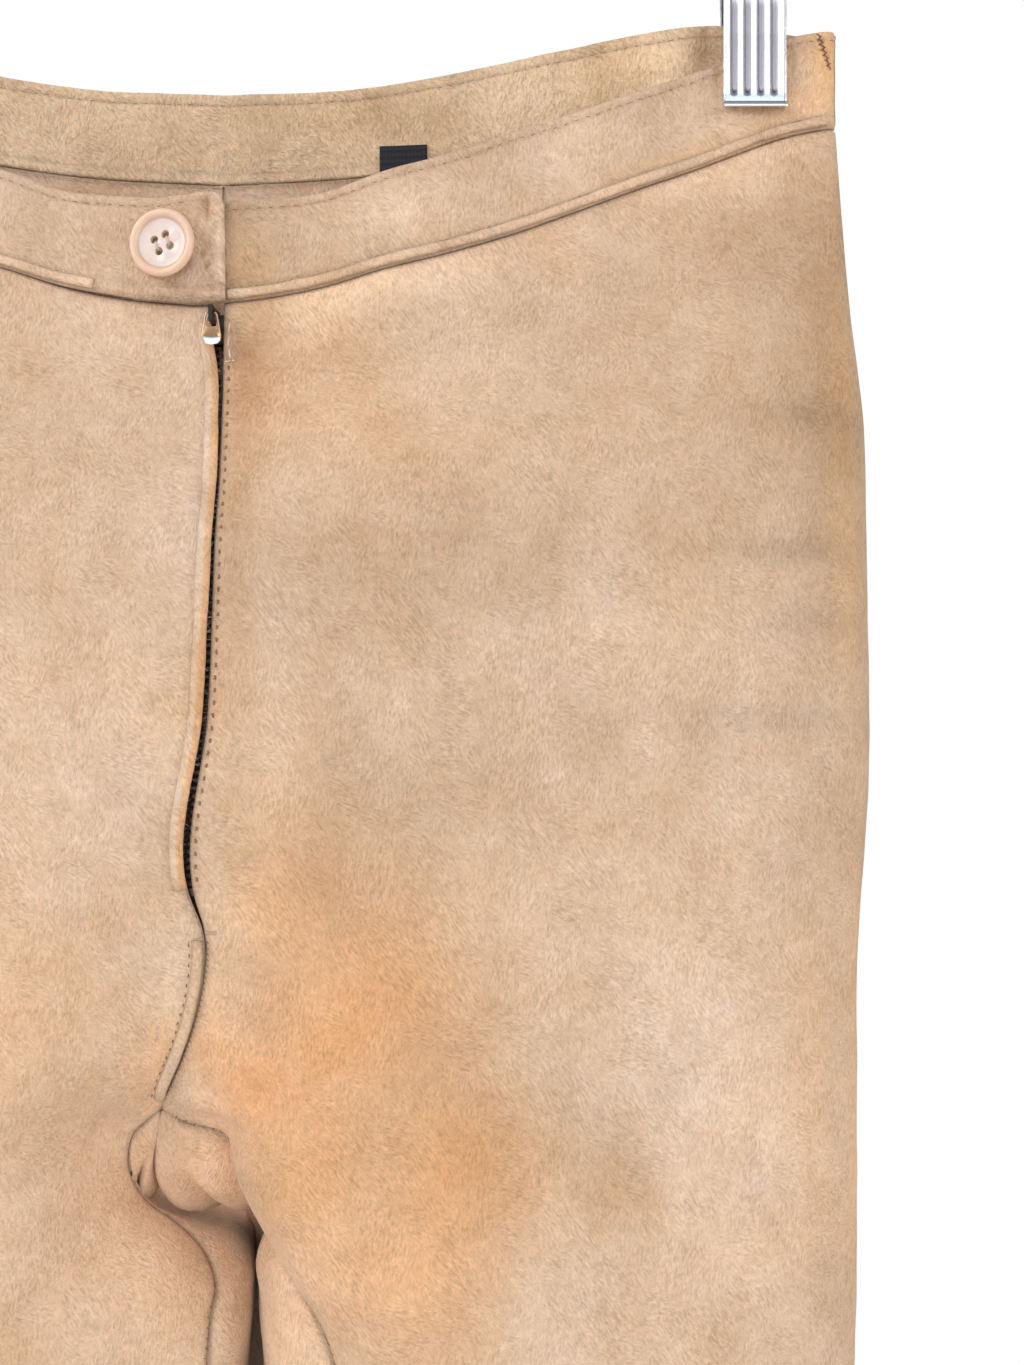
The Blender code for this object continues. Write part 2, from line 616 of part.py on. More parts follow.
def build_zip(tape_finish, metal):
    """Tape, chain, bottom stop, slider with its bridge, and the pull tab on its own pivot."""
    flat = np.tile((0.0, -1.0, 0.0), (16, 1))
    heights = np.linspace(ZIP_TOP, ZIP_FOOT - 2, 16)
    middle, inside = fly_line(heights)
    path = np.column_stack([middle, inside + TAPE_BACK + 0.8, heights]) * MM
    half = TAPE_WIDTH / 2
    sweep("zip_tape", path, flat, [(half, 0), (half, 0.8), (-half, 0.8), (-half, 0)], tape_finish)
    heights = np.linspace(SLIDER_FOOT - 0.4, ZIP_FOOT + 3.2, 16)
    middle, inside = fly_line(heights)
    path = np.column_stack([middle, inside + CHAIN_BACK + CHAIN_DEEP, heights]) * MM
    half = CHAIN_WIDTH / 2
    chain = [(half, 0.3), (half, 1.1), (half - 0.4, CHAIN_DEEP), (0.4 - half, CHAIN_DEEP), (-half, 1.1), (-half, 0.3)]
    sweep("zip_chain", path, flat, chain, metal)
    middle, inside = (float(v) for v in fly_line(ZIP_FOOT + 1.5))
    deep = inside + CHAIN_BACK
    rounded_box(
        "zip_stop", (middle - 1.6, deep - 0.5, ZIP_FOOT), (middle + 1.6, deep + 1.3, ZIP_FOOT + 2.8), metal, 0.3
    )
    build_slider(metal)
    build_pull(metal)


def build_slider(metal):
    """A tapered slider body behind the fronts, with a bridge that stands out through the opening."""
    x, y, z = PULL_PIVOT
    _, inside = fly_line(-202)
    inside = float(inside)
    front = inside + 0.5
    back = inside + TAPE_BACK - 0.9
    outline = [(-3.9, 4.6), (3.9, 4.6), (3.2, 0.5), (2.8, -4.6), (-2.8, -4.6), (-3.2, 0.5)]
    points = []
    for depth in (front, back):
        points += [(x + a, depth, -201.6 + b) for a, b in outline]
    count = len(outline)
    faces = [list(range(count)), list(range(count, 2 * count))[::-1]]
    faces += [[i, (i + 1) % count, (i + 1) % count + count, i + count][::-1] for i in range(count)]
    body = solid("zip_slider", np.array(points) * MM, faces, metal, smooth=False)
    half = 0.6
    reach = y - 1.95
    legs = [
        ((x - half, reach, z - 2.6), (x + half, front + 0.4, z - 1.3)),
        ((x - half, reach, z + 1.3), (x + half, front + 0.4, z + 2.4)),
        ((x - half, reach, z - 2.6), (x + half, reach + 0.9, z + 2.4)),
    ]
    for number, (low, high) in enumerate(legs):
        cutter = rounded_box(f"bridge_guide_{number}", low, high, metal)
        cutter.hide_render = True
        cutter.display_type = "WIRE"
        join = body.modifiers.new(f"bridge_{number}", "BOOLEAN")
        join.operation = "UNION"
        join.object = cutter


def build_pull(metal):
    """The pull tab: a plate with a three-cornered window, whose top bar runs through the bridge."""
    outer = [(-1.9, 0.45), (1.9, 0.45), (2.2, -0.2), (3.0, -7.4), (2.8, -8.6), (2.0, -9.35), (0, -9.7)]
    outer += [(-2.0, -9.35), (-2.8, -8.6), (-3.0, -7.4), (-2.2, -0.2)]
    inner = [(-1.15, -0.45), (1.15, -0.45), (1.4, -1.1), (2.25, -6.2), (1.9, -6.75), (1.0, -7.0), (0, -7.1)]
    inner += [(-1.0, -7.0), (-1.9, -6.75), (-2.25, -6.2), (-1.4, -1.1)]
    half = 0.42
    points = []
    for depth in (-half, half):
        points += [(a, depth, b) for a, b in outer]
        points += [(a, depth, b) for a, b in inner]
    count = len(outer)
    faces = []
    for i in range(count):
        k = (i + 1) % count
        front = [i, k, count + k, count + i]
        back = [2 * count + j for j in front][::-1]
        faces += [front, back]
        faces.append([i, 2 * count + i, 2 * count + k, k])
        faces.append([count + k, 3 * count + k, 3 * count + i, count + i])
    obj = solid("zip_pull", np.array(points) * MM, faces, metal, smooth=False)
    obj.location = Vector(PULL_PIVOT) * MM


def build_button(finish):
    """A turned four-hole button with a raised rim, facing a little to the wearer's right."""
    x, z = BUTTON_AT
    radius = BUTTON_RADIUS
    profile = [(0, 1.5), (6.6, 1.5), (7.4, 2.0), (8.2, 3.1), (9.2, 3.5), (10.1, 3.1), (radius, 2.2), (10.2, 1.0)]
    profile += [(8.0, 0.2), (0, 0)]
    sides = 26
    points = [(0, 0, profile[0][1]), (0, 0, profile[-1][1])]
    ring = profile[1:-1]
    for r, h in ring:
        for k in range(sides):
            angle = 2 * math.pi * k / sides
            points.append((r * math.cos(angle), r * math.sin(angle), h))
    faces = []
    for k in range(sides):
        after = (k + 1) % sides
        faces.append([0, 2 + k, 2 + after])
        last = 2 + (len(ring) - 1) * sides
        faces.append([1, last + after, last + k])
        for level in range(len(ring) - 1):
            a = 2 + level * sides
            faces.append([a + k, a + sides + k, a + sides + after, a + after])
    obj = solid("button", np.array(points) * MM, faces, finish)
    for number in range(4):
        angle = math.radians(62 + 90 * number)
        spot = (2.3 * math.cos(angle), 2.3 * math.sin(angle))
        bpy.ops.mesh.primitive_cylinder_add(
            vertices=10, radius=1.0 * MM, depth=8 * MM, location=(spot[0] * MM, spot[1] * MM, 1 * MM)
        )
        cutter = bpy.context.object
        cutter.name = f"button_hole_guide_{number}"
        cutter.parent = obj
        cutter.hide_render = True
        cutter.display_type = "WIRE"
        cut = obj.modifiers.new(f"hole_{number}", "BOOLEAN")
        cut.operation = "DIFFERENCE"
        cut.object = cutter
    surface = -float(face_depth("front", abs(x), z)) - TAB_LIFT
    tilt = math.radians(BUTTON_TURN)
    stand = 0.4 + 8.2 * math.sin(tilt)
    obj.rotation_euler = (math.radians(90), 0, -tilt)
    obj.location = Vector((x, surface - stand, z)) * MM


def build_label(finish):
    """A short woven loop, sewn to the inside of the back facing."""
    xs = np.linspace(54.5, 71, 5)
    grid, normals = band_grid("back", xs, lift=-(2 * SUEDE / MM + 0.3 + 0.4))
    grid[:, :, 2] = np.linspace(-150, -128, BAND_STEPS + 1)[:, None] * MM
    wall("label_loop", grid, normals, 0.9 * MM, finish)


def tube(name, points, radius, finish, resolution=3):
    """A round wire along points, in mm."""
    data = bpy.data.curves.new(name, "CURVE")
    data.dimensions = "3D"
    data.bevel_depth = radius * MM
    data.bevel_resolution = resolution
    data.use_fill_caps = True
    spline = data.splines.new("POLY")
    spline.points.add(len(points) - 1)
    for spot, point in zip(spline.points, points):
        spot.co = (*(v * MM for v in point), 1)
    data.materials.append(finish)
    obj = bpy.data.objects.new(name, data)
    bpy.context.scene.collection.objects.link(obj)
    return obj


def ring_solid(name, centre, inner, outer, length, finish, sides=20):
    """A short tube about the X axis, in mm."""
    points = []
    for x in (-length / 2, length / 2):
        for radius in (inner, outer):
            for k in range(sides):
                angle = 2 * math.pi * k / sides
                points.append((x, radius * math.cos(angle), radius * math.sin(angle)))
    faces = []
    for k in range(sides):
        after = (k + 1) % sides
        a, b, c, d = (sides * level for level in range(4))
        faces.append([a + k, a + after, b + after, b + k])
        faces.append([c + after, c + k, d + k, d + after])
        faces.append([b + k, b + after, d + after, d + k])
        faces.append([a + after, a + k, c + k, c + after])
    placed = (np.array(points) + centre) * MM
    return solid(name, placed, faces, finish)


def clip_plate(name, side, face, finish):
    """One ribbed sheet-metal jaw: flat against the band, round the spring, then out to a finger lever."""
    sign = -1 if face == "front" else 1
    xs = band_columns(f"{face}_{side}", None)
    rest = float(np.interp(CLIP_X - CLIP_WIDTH / 2, xs, read(waist_of(face), "x", "depth", xs))) + CLIP_GAP
    foot = CLIP_FOOT_Z[face]
    line = [
        (rest + 2.2, foot - 0.3),
        (rest, foot + 0.6),
        (rest, foot + 3.4),
        (rest, -101),
        (5.0, -86),
        (5.0, -73),
        (12.0, -60),
        (13.4, -56),
    ]
    across = np.linspace(-CLIP_WIDTH / 2, CLIP_WIDTH / 2, 14)
    ribs = CLIP_RIB * (0.5 + 0.5 * np.cos(2 * math.pi * across / 4.6 + math.pi))
    ribs[0] = 0
    ribs[-1] = 0
    grid = []
    for number, (y, z) in enumerate(line):
        raised = ribs if 1 < number < 6 else ribs * 0
        depth = y + CLIP_SHEET + raised
        grid.append(np.column_stack([CLIP_X + across, sign * depth, np.full(len(across), z)]))
    grid = np.array(grid) * MM
    along = np.gradient(grid, axis=1)
    upward = np.gradient(grid, axis=0)
    normals = np.cross(along, upward)
    normals *= np.where(normals[..., 1:2] * sign > 0, 1, -1)
    normals /= np.linalg.norm(normals, axis=2, keepdims=True)
    wall(name, grid, normals, CLIP_SHEET * MM, finish, mirrored=side == "right")


def build_hanger(chrome, steel):
    """Bar, hook with its collar, and the two clips."""
    for side, sign in (("left", 1), ("right", -1)):
        for face in ("front", "back"):
            clip_plate(f"clip_{face}_{side}", side, face, chrome)
        ring_solid(f"clip_spring_{side}", (sign * CLIP_X, 0, BAR_Z), BAR_RADIUS + 0.3, 4.6, 13, steel)
    tube("hanger_bar", [(-BAR_HALF, 0, BAR_Z), (0, 0, BAR_Z), (BAR_HALF, 0, BAR_Z)], BAR_RADIUS, steel)
    collar = ring_solid("hanger_hook", (0, 0, BAR_Z), BAR_RADIUS + 0.3, 5.2, 14, steel)
    radius = HOOK_INSIDE + WIRE_RADIUS
    centre_z = -HOOK_INSIDE
    points = [(0, 0, BAR_Z + 4.2), (0, 0, -68), (0, 0, -60), (3, 0, -51), (9, 0, -44)]
    points += [
        (radius * math.cos(a), 0, centre_z + radius * math.sin(a)) for a in np.radians(np.arange(-40, 205, 14))
    ]
    wire = tube("hook_guide", points, WIRE_RADIUS, steel)
    wire.hide_render = True
    wire.display_type = "WIRE"
    mesh = bpy.data.meshes.new_from_object(wire.evaluated_get(bpy.context.evaluated_depsgraph_get()))
    bpy.data.objects.remove(wire, do_unlink=True)
    guide = bpy.data.objects.new("hook_wire_guide", mesh)
    bpy.context.scene.collection.objects.link(guide)
    guide.hide_render = True
    guide.display_type = "WIRE"
    weld = guide.modifiers.new("weld", "WELD")
    weld.merge_threshold = 0.00001
    join = collar.modifiers.new("wire", "BOOLEAN")
    join.operation = "UNION"
    join.object = guide


def build():
    clear_scene()
    suede = material("suede_tan", (0.62, 0.41, 0.24), 0.9)
    rough = material("suede_rough", (0.5, 0.32, 0.18), 0.95)
    tape = material("zip_tape_brown", (0.12, 0.07, 0.04), 0.85)
    zip_metal = material("zip_metal", (0.75, 0.75, 0.77), 0.3, 1.0)
    horn = material("button_peach", (0.85, 0.62, 0.48), 0.25)
    woven = material("label_black", (0.01, 0.012, 0.02), 0.6)
    chrome = material("clip_chrome", (0.8, 0.8, 0.84), 0.15, 1.0)
    steel = material("hanger_steel", (0.7, 0.7, 0.73), 0.25, 1.0)
    grids = build_panels(suede)
    build_bands(suede, rough)
    build_welts(suede)
    build_fly_fold(grids, suede)
    build_crotch_welt(grids, suede)
    build_zip(tape, zip_metal)
    build_button(horn)
    build_label(woven)
    build_hanger(chrome, steel)


build()
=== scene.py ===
"""Looks of the suede trousers on their clip hanger. Metres, +Z up, front towards -Y, wearer's left at +X."""

import math

import bmesh
import bpy
import numpy as np
from mathutils import Euler, Matrix, Vector


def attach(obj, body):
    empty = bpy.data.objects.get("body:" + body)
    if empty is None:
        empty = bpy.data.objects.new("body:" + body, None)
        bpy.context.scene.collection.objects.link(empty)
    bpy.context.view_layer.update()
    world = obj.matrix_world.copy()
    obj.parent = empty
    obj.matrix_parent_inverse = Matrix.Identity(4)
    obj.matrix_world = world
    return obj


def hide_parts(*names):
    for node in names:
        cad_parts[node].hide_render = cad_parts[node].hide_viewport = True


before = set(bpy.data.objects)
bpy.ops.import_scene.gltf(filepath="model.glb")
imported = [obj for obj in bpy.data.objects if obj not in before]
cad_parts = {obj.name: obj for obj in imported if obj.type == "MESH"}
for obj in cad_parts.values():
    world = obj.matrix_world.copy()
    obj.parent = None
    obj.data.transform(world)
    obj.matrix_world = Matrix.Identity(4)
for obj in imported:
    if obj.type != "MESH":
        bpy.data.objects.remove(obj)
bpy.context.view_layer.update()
BODY = "trousers"

MM = 0.001
SUEDE = 1.3 * MM
FRONT_BAND = 2.4 * MM
WAIST_END = 206
WAIST_LEVEL_Z = -130

# Heights of the seam under the waistband and of its top edge, in mm, by distance from the centre
FRONT_WAIST = {
    "x": (0, 20, 40, 60, 80, 100, 120, 141, 160, 168, 189, 206),
    "seam": (-194, -192, -188, -181.5, -176, -169.5, -161.5, -152.5, -144.8, -141.5, -134, -130.5),
    "top": (-162.5, -161.5, -159, -151.5, -145.5, -138, -130.5, -121.8, -114, -111, -102.5, -99.5),
    "depth": (24, 23.6, 22.6, 21.2, 19.4, 17, 13.8, 9.4, 5.4, 4.5, 4.4, 4.4),
}
BACK_WAIST = {
    "x": (0, 50, 82, 116, 144, 160, 168, 189, 206),
    "seam": (-140, -137.5, -134, -129.5, -126.5, -126.2, -126.5, -128.5, -130.5),
    "top": (-108.8, -107, -103.2, -98.5, -95.5, -94.8, -95, -97, -99.5),
    "depth": (27, 25, 21.5, 15.5, 9, 5.4, 4.5, 4.4, 4.4),
}
# Half width and depths of the body and legs, in mm, by height
FORM = {
    "z": (-1200, -1000, -800, -640, -520, -450, -400, -350, -270, -230, -190, -130),
    "outer": (201, 200, 203, 209, 212.6, 212.8, 213.5, 217, 216.5, 215.5, 211, 206.5),
    "front": (30, 31, 34, 40, 44, 44, 43, 43, 41, 38, 33, 24),
    "back": (30, 32, 38, 48, 54, 56, 58, 58, 53, 46, 38, 27),
}
# Edges of the two fronts along the fly opening, in mm, by height
FLY = {
    "z": (-390, -384, -378, -372, -357, -325, -304, -275, -232, -214, -205, -194),
    "right": (7.3, 7.4, 3.6, 2.9, 3.8, 6.6, 9.0, 9.6, 8.9, 7.8, 6.2, 5.8),
    "left": (7.3, 7.7, 4.6, 4.4, 5.5, 8.2, 10.2, 10.6, 10.1, 9.9, 9.8, 9.8),
}
SIDE_ROUND = 6
BODY_POWER = 2.4
BODY_BLEND = 90
FLAT_Z = -262

# Rows of each panel, in mm: height at the side seam, then the point on the inner seam, the way the
# cloth leaves it, where it joins the broad face, how firmly it joins, and how far it dips between
# Columns: row, x, y, z, out_x, out_y, out_z, join, pull, dip
LEFT_FRONT = (
    (-262, 10.4, -40.6, -262, 35, 0, 0, 48, 40, 0),
    (-320, 8.7, -42.6, -320, 35, 0, 0, 48, 40, 0),
    (-376, 4.5, -43, -376, 35, 0, 0, 48, 40, 0),
    (-388, 7.6, -42, -388, 35, 0, 0, 48, 42, 0),
    (-400, 6.8, -39.5, -400, 36, 0, 0, 48, 42, 0),
    (-412, 3.5, -36, -414, 38, 0, 0, 48, 44, 0),
    (-424, -1.5, -31, -427, 42, 2, 0, 48, 48, 0),
    (-434, -6.5, -26, -437.5, 48, 3, 4, 48, 56, 0),
    (-442, -10.5, -21, -447, 55, 0, 14, 48, 76, 0),
    (-448, -3.5, -20.6, -451, 42, 3, 26, 45, 90, 0),
    (-454, 3.5, -20, -453, 44, 3, 20, 43, 100, 0),
    (-461, 9.5, -17, -456.5, 18, -26, 2, 43, 104, 0),
    (-470, 15.5, -12.5, -466, -14, -42, 0, 46, 84, 0),
    (-480, 21, -11.5, -480, -8, -46, 0, 50, 64, 0),
    (-488, 26, -15.5, -488, -8, -42, 0, 53, 50, 0),
    (-494, 30, -22.5, -494, -2, -36, 0, 56, 44, 0),
    (-511, 42, -34, -511, 16, -18, 0, 66, 36, 0),
    (-535, 50, -40.5, -535, 25, -3, 0, 74, 34, 0),
    (-575, 50, -38, -575, 22, -5, 0, 74, 36, 0),
    (-640, 38, -30, -640, 10, -18, 0, 66, 44, 0),
    (-720, 18, -14, -720, 0, -34, 0, 52, 52, 0),
    (-800, 9, 0, -800, 0, -60, 0, 50, 70, 0),
    (-1000, 7, 0, -1000, 0, -56, 0, 48, 70, 0),
    (-1200, 8, 0, -1200, 0, -54, 0, 48, 70, 0),
)
LEFT_BACK = (
    (-262, 0, 52.2, -262, 40, 0, 0, 50, 45, 0),
    (-320, -1, 57, -328, 42, 0, 0, 50, 45, 1),
    (-376, -4, 57.5, -394, 46, 0, -3, 50, 45, 3),
    (-388, -6, 54, -416, 46, -2, -6, 50, 45, 5),
    (-400, -9, 46, -438, 45, -5, -12, 50, 45, 8),
    (-408, -11.5, 33, -457, 42, -8, -20, 50, 46, 10),
    (-417, -14, 15, -472, 42, -4, -24, 48, 48, 12),
    (-426, -15.5, -2, -476, 44, 0, -28, 48, 50, 19),
    (-434, -14.5, -14, -466, 44, 6, -34, 48, 52, 25),
    (-442, -10.5, -21, -447, 32, 8, -54, 48, 54, 29),
    (-448, -3.5, -20.6, -451, 16, 10, -68, 48, 56, 27),
    (-454, 3.5, -20, -453, 3, 10, -76, 48, 58, 25),
    (-461, 9.5, -17, -456.5, 0, 12, -74, 48, 58, 21),
    (-470, 15.5, -12.5, -466, -4, 24, -54, 48, 60, 13),
    (-480, 21, -11.5, -480, -18, 42, -20, 38, 50, 5),
    (-488, 26, -15.5, -488, -52, 40, 0, 26, 50, 0),
    (-494, 30, -22.5, -494, -70, 34, 0, 16, 48, 0),
    (-511, 42, -34, -511, -92, 30, 0, 8, 46, 0),
    (-535, 50, -40.5, -535, -96, 26, 0, 6, 42, 0),
    (-575, 50, -38, -575, -88, 20, 0, 7, 44, 0),
    (-640, 38, -30, -640, -70, 20, 0, 13, 50, 0),
    (-720, 18, -14, -720, -50, 44, 0, 28, 60, 0),
    (-800, 9, 0, -800, 0, 66, 0, 44, 70, 0),
    (-1000, 7, 0, -1000, 0, 58, 0, 48, 70, 0),
    (-1200, 8, 0, -1200, 0, 54, 0, 48, 70, 0),
)
RIGHT_FRONT = (
    (-262, -9.4, -40.6, -262, 35, 0, 0, 44, 40, 0),
    (-320, -7, -42.6, -320, 35, 0, 0, 44, 40, 0),
    (-376, -3, -43, -376, 35, 0, 0, 44, 40, 0),
    (-388, -7.2, -42, -388, 35, 0, 0, 44, 42, 0),
    (-400, -6.8, -39.5, -400, 36, 1, 0, 46, 42, 0),
    (-412, -3.5, -36, -414, 38, 2, 0, 48, 44, 0),
    (-424, 1.5, -31, -427, 40, 3, 0, 50, 48, 0),
    (-434, 6.5, -26, -437.5, 42, 3, 2, 54, 50, 0),
    (-442, 10.5, -21, -447, 44, 0, 8, 58, 54, 0),
    (-448, 15.5, -19.6, -451, 38, 0, 12, 60, 56, 0),
    (-454, 19.5, -18.6, -455, 28, -5, 10, 60, 56, 0),
    (-461, 21.5, -17, -461, 18, -12, 4, 58, 56, 0),
    (-470, 21.5, -13, -470, 6, -22, 0, 56, 54, 0),
    (-480, 17, -9, -480, -4, -28, 0, 54, 54, 0),
    (-488, 8, -6.5, -488, -8, -28, 0, 52, 52, 0),
    (-494, 0.5, -9, -494, -8, -26, 0, 50, 48, 0),
    (-502, -6, -17, -502, 2, -20, 0, 48, 44, 0),
    (-511, -5.5, -21.5, -511, 12, -18, 0, 46, 42, 0),
    (-535, -4, -22, -535, 10, -22, 0, 46, 44, 0),
    (-575, -2, -18, -575, 4, -28, 0, 46, 50, 0),
    (-640, 1, -10, -640, 0, -40, 0, 48, 60, 0),
    (-720, 5, -4, -720, 0, -52, 0, 50, 66, 0),
    (-800, 7, 0, -800, 0, -60, 0, 50, 70, 0),
    (-1000, 7, 0, -1000, 0, -56, 0, 48, 70, 0),
    (-1200, 8, 0, -1200, 0, -54, 0, 48, 70, 0),
)
RIGHT_BACK = (
    (-262, 0, 52.2, -262, 40, 0, 0, 50, 45, 0),
    (-320, 1, 57, -328, 42, 0, 0, 50, 45, 1),
    (-376, 4, 57.5, -394, 46, 0, -3, 54, 45, 3),
    (-388, 6, 54, -416, 46, -2, -6, 56, 45, 5),
    (-400, 9, 46, -438, 45, -5, -12, 58, 45, 8),
    (-408, 11.5, 33, -457, 38, -8, -20, 60, 46, 10),
    (-417, 14, 15, -472, 36, -4, -26, 60, 48, 12),
    (-426, 15.5, -2, -476, 36, 0, -30, 60, 50, 16),
    (-434, 14.5, -14, -466, 36, 8, -34, 60, 52, 20),
    (-442, 10.5, -21, -447, 36, 10, -46, 60, 54, 24),
    (-448, 15.5, -19.6, -451, 20, 14, -54, 58, 56, 22),
    (-454, 19.5, -18.6, -455, 2, 14, -58, 58, 58, 18),
    (-461, 21.5, -17, -461, -10, 18, -48, 54, 58, 12),
    (-470, 21.5, -13, -470, -22, 26, -32, 48, 56, 8),
    (-480, 17, -9, -480, -30, 30, -20, 40, 50, 4),
    (-488, 8, -6.5, -488, -56, 30, -6, 26, 44, 1),
    (-494, 0.5, -9, -494, -80, 28, 0, 14, 40, 0),
    (-502, -6, -17, -502, -75, 16, 0, 10, 30, 0),
    (-511, -5.5, -21.5, -511, -85, 6, 0, 10, 20, 0),
    (-535, -4, -22, -535, -80, 10, 0, 12, 24, 0),
    (-575, -2, -18, -575, -66, 20, 0, 16, 36, 0),
    (-640, 1, -10, -640, -36, 44, 0, 26, 50, 0),
    (-720, 5, -4, -720, -10, 60, 0, 40, 60, 0),
    (-800, 7, 0, -800, 0, 66, 0, 50, 70, 0),
    (-1000, 7, 0, -1000, 0, 58, 0, 48, 70, 0),
    (-1200, 8, 0, -1200, 0, 54, 0, 48, 70, 0),
)
PANELS = {
    "front_left": (LEFT_FRONT, "front", "left"),
    "back_left": (LEFT_BACK, "back", "left"),
    "front_right": (RIGHT_FRONT, "front", "right"),
    "back_right": (RIGHT_BACK, "back", "right"),
}
BAND_LOW = 0.3
SIDE_SEAM_X = 206.4
TAB_END = 10.2
UNDERLAP_END = -19
TAB_LIFT = 3.0
TAB_FADE = (-62, -24)

WELT_WIDTH = 3.2
WELT_HEIGHT = 1.2
WELT_BASE = 0.35
WELTS = (
    ("welt_front_left", "front_left", 11), ("welt_front_right", "front_right", 30),
    ("welt_back", "back_left", 0),
)
FOLD_WIDTH = 4.4
FOLD_HEIGHT = 1.3
CROTCH_WELT_WIDTH = 3.6
CROTCH_WELT_HEIGHT = 1.3

ZIP_TOP = -196.5
SLIDER_FOOT = -206.5
ZIP_FOOT = -377
TAPE_WIDTH = 22
TAPE_BACK = 3.7
CHAIN_BACK = 2.0

TOOTH_PITCH = 2.4
# A tooth's outline: out from the row's middle, then up, in mm
TOOTH_OUTLINE = [
    (-1.55, 0.55), (-1.0, 0.75), (0.9, 0.62), (1.5, 0.3), (1.5, -0.3), (0.9, -0.62), (-1.0, -0.75),
    (-1.55, -0.55),
]

PULL_PIVOT = (7.6, -31.4, -198.8)
# The pull tab's rings from its edge in to its window: top, foot, then half of the outline, in mm
PULL_RINGS = (
    (0.5, -9.7, [
        (0.9, 0.45), (1.6, 0.35), (1.95, -0.4), (2.25, -2.1), (2.5, -3.8), (2.95, -6.6), (2.95, -7.3),
        (2.7, -8.3), (1.8, -9.3),
    ]),
    (0.0, -7.75, [
        (0.7, -0.05), (1.2, -0.15), (1.5, -0.75), (1.75, -2.05), (2.0, -3.4), (2.7, -6.6), (2.5, -7.35),
        (1.7, -7.6), (0.85, -7.7),
    ]),
    (0.0, -7.25, [
        (0.7, -0.05), (1.2, -0.15), (1.5, -0.75), (1.75, -2.05), (2.0, -3.4), (2.5, -6.3), (2.3, -6.9),
        (1.6, -7.1), (0.8, -7.2),
    ]),
    (-0.6, -4.0, [
        (0.5, -0.6), (0.85, -0.65), (1.0, -1.1), (1.2, -2.0), (1.45, -3.0), (1.6, -3.6), (1.45, -3.9),
        (1.0, -4.0), (0.5, -4.0),
    ]),
)

BUTTON_AT = (-7.6, -176.7)
BUTTON_RADIUS = 10.6
BUTTON_TURN = 10
# Half of the button's outline from its middle over the rim to its back: radius, height, in mm
BUTTON_OUTLINE = [
    (0, 1.6), (6.2, 1.6), (7.2, 1.64), (7.6, 1.75), (7.8, 2.1), (8.05, 2.55), (8.4, 2.9), (8.8, 3.2),
    (9.25, 3.32), (9.7, 3.22), (10.1, 2.9), (10.45, 2.4), (BUTTON_RADIUS, 1.8), (10.45, 1.3), (10.0, 0.8),
    (9.0, 0.35), (8.0, 0.2), (0, 0),
]

CLIP_X = 179.2
CLIP_WIDTH = 20.6
CLIP_SHEET = 0.8
CLIP_GAP = 0.35
CLIP_FOOT_Z = {"front": -124.5, "back": -120}
BAR_Z = -78
BAR_RADIUS = 2.5
HOOK_INSIDE = 20
# The hook's straight neck and the start of its bend, and the collar's outline, in mm
HOOK_NECK = [(0, 0, -68), (0, 0, -60), (3, 0, -51), (9, 0, -44)]
COLLAR_OUTLINE = (
    (BAR_RADIUS + 0.3, -6.6), (BAR_RADIUS + 0.7, -7), (4.8, -7), (5.2, -6.6), (5.2, 6.6), (4.8, 7),
    (BAR_RADIUS + 0.7, 7), (BAR_RADIUS + 0.3, 6.6),
)
WIRE_RADIUS = 2

# Steps across and down a panel, denser beside the seams and where the front shows its folds
INNER_T = np.concatenate(
    [[0, 0.008, 0.018, 0.032, 0.05, 0.075, 0.105, 0.14], np.linspace(0.18, 1, 18)[:-1]]
)
OUTER_T = np.linspace(0, 1, 62)
ROUND_T = np.linspace(0, math.pi / 2, 9)[1:]
FINE_TOP = np.concatenate([[0, 0.01, 0.022, 0.04], np.linspace(0.065, 1, 36)[:-1]])
FINE_ROWS = np.concatenate(
    [np.arange(-262, -540, -2.2), np.arange(-540, -1188, -6.5), (-1188, -1192, -1196, -1198, -1200)]
)
RIM_STEPS = 4
BAND_ROWS = 34

STITCH_PITCH = 3.8
TOP_STITCH = 2.4
FACING_STITCH = 3.8
TAB_CORNER = 3.4
TAB_RISE = 2.0
# The tuck that keeps the left leg's inner back clear of the right leg, in mm
TUCK_TOP = -484
TUCK_FOOT = -640
TUCK_REACH = 80
TUCK = 12
TUCK_Y = 6
TUCK_WIDE = 9
# Painted shade on the cloth in the gap between the legs: how dark it is, and over what depth in mm
GAP_PAINTED_SHADE = (0.9, 0.95, 0.98)
GAP_WIDE = 9
GAP_TOP = -478
GAP_FOOT = -600
GAP_REACH = 50
FLY_STITCH_IN = 1.9
FLY_STITCH_FOOT = -373
# Heights on the fly and below it, in mm, from the top down
TOP_THREAD_Z = -199
FLY_GROOVE_Z = -204
CROSS_THREAD_Z = -211.5
FLY_STITCH_TOP = -212
FOLD_FOOT_Z = -372
SEAM_JOIN_Z = -386
LEFT_TACK_Z = -386.5
RIGHT_TACK_Z = -387.5
CROTCH_TOP_Z = -388
FORK_Z = -442
LEFT_INSEAM_TOP = -449
RIGHT_INSEAM_TOP = -500
# The hand mending at the side: first thread's x and z, the step to the next, and how many
WHIP_TOP = (200.0, -101.3)
WHIP_STEP = (0.3, -0.85)
WHIP_COUNT = 13
# The loop's two sides, its foot, its height and the height at which it lies on the facing, in mm
LABEL_X = (54.5, 71)
LABEL_FOOT = -150
LABEL_HIGH = 22
LABEL_SEAT_Z = -128.0
IMPRINT_BOX = (134.5, -140.3, 150.5, -139.0)
IMPRINT_HIGH = 7.5
IMPRINT_PITCH = 0.95
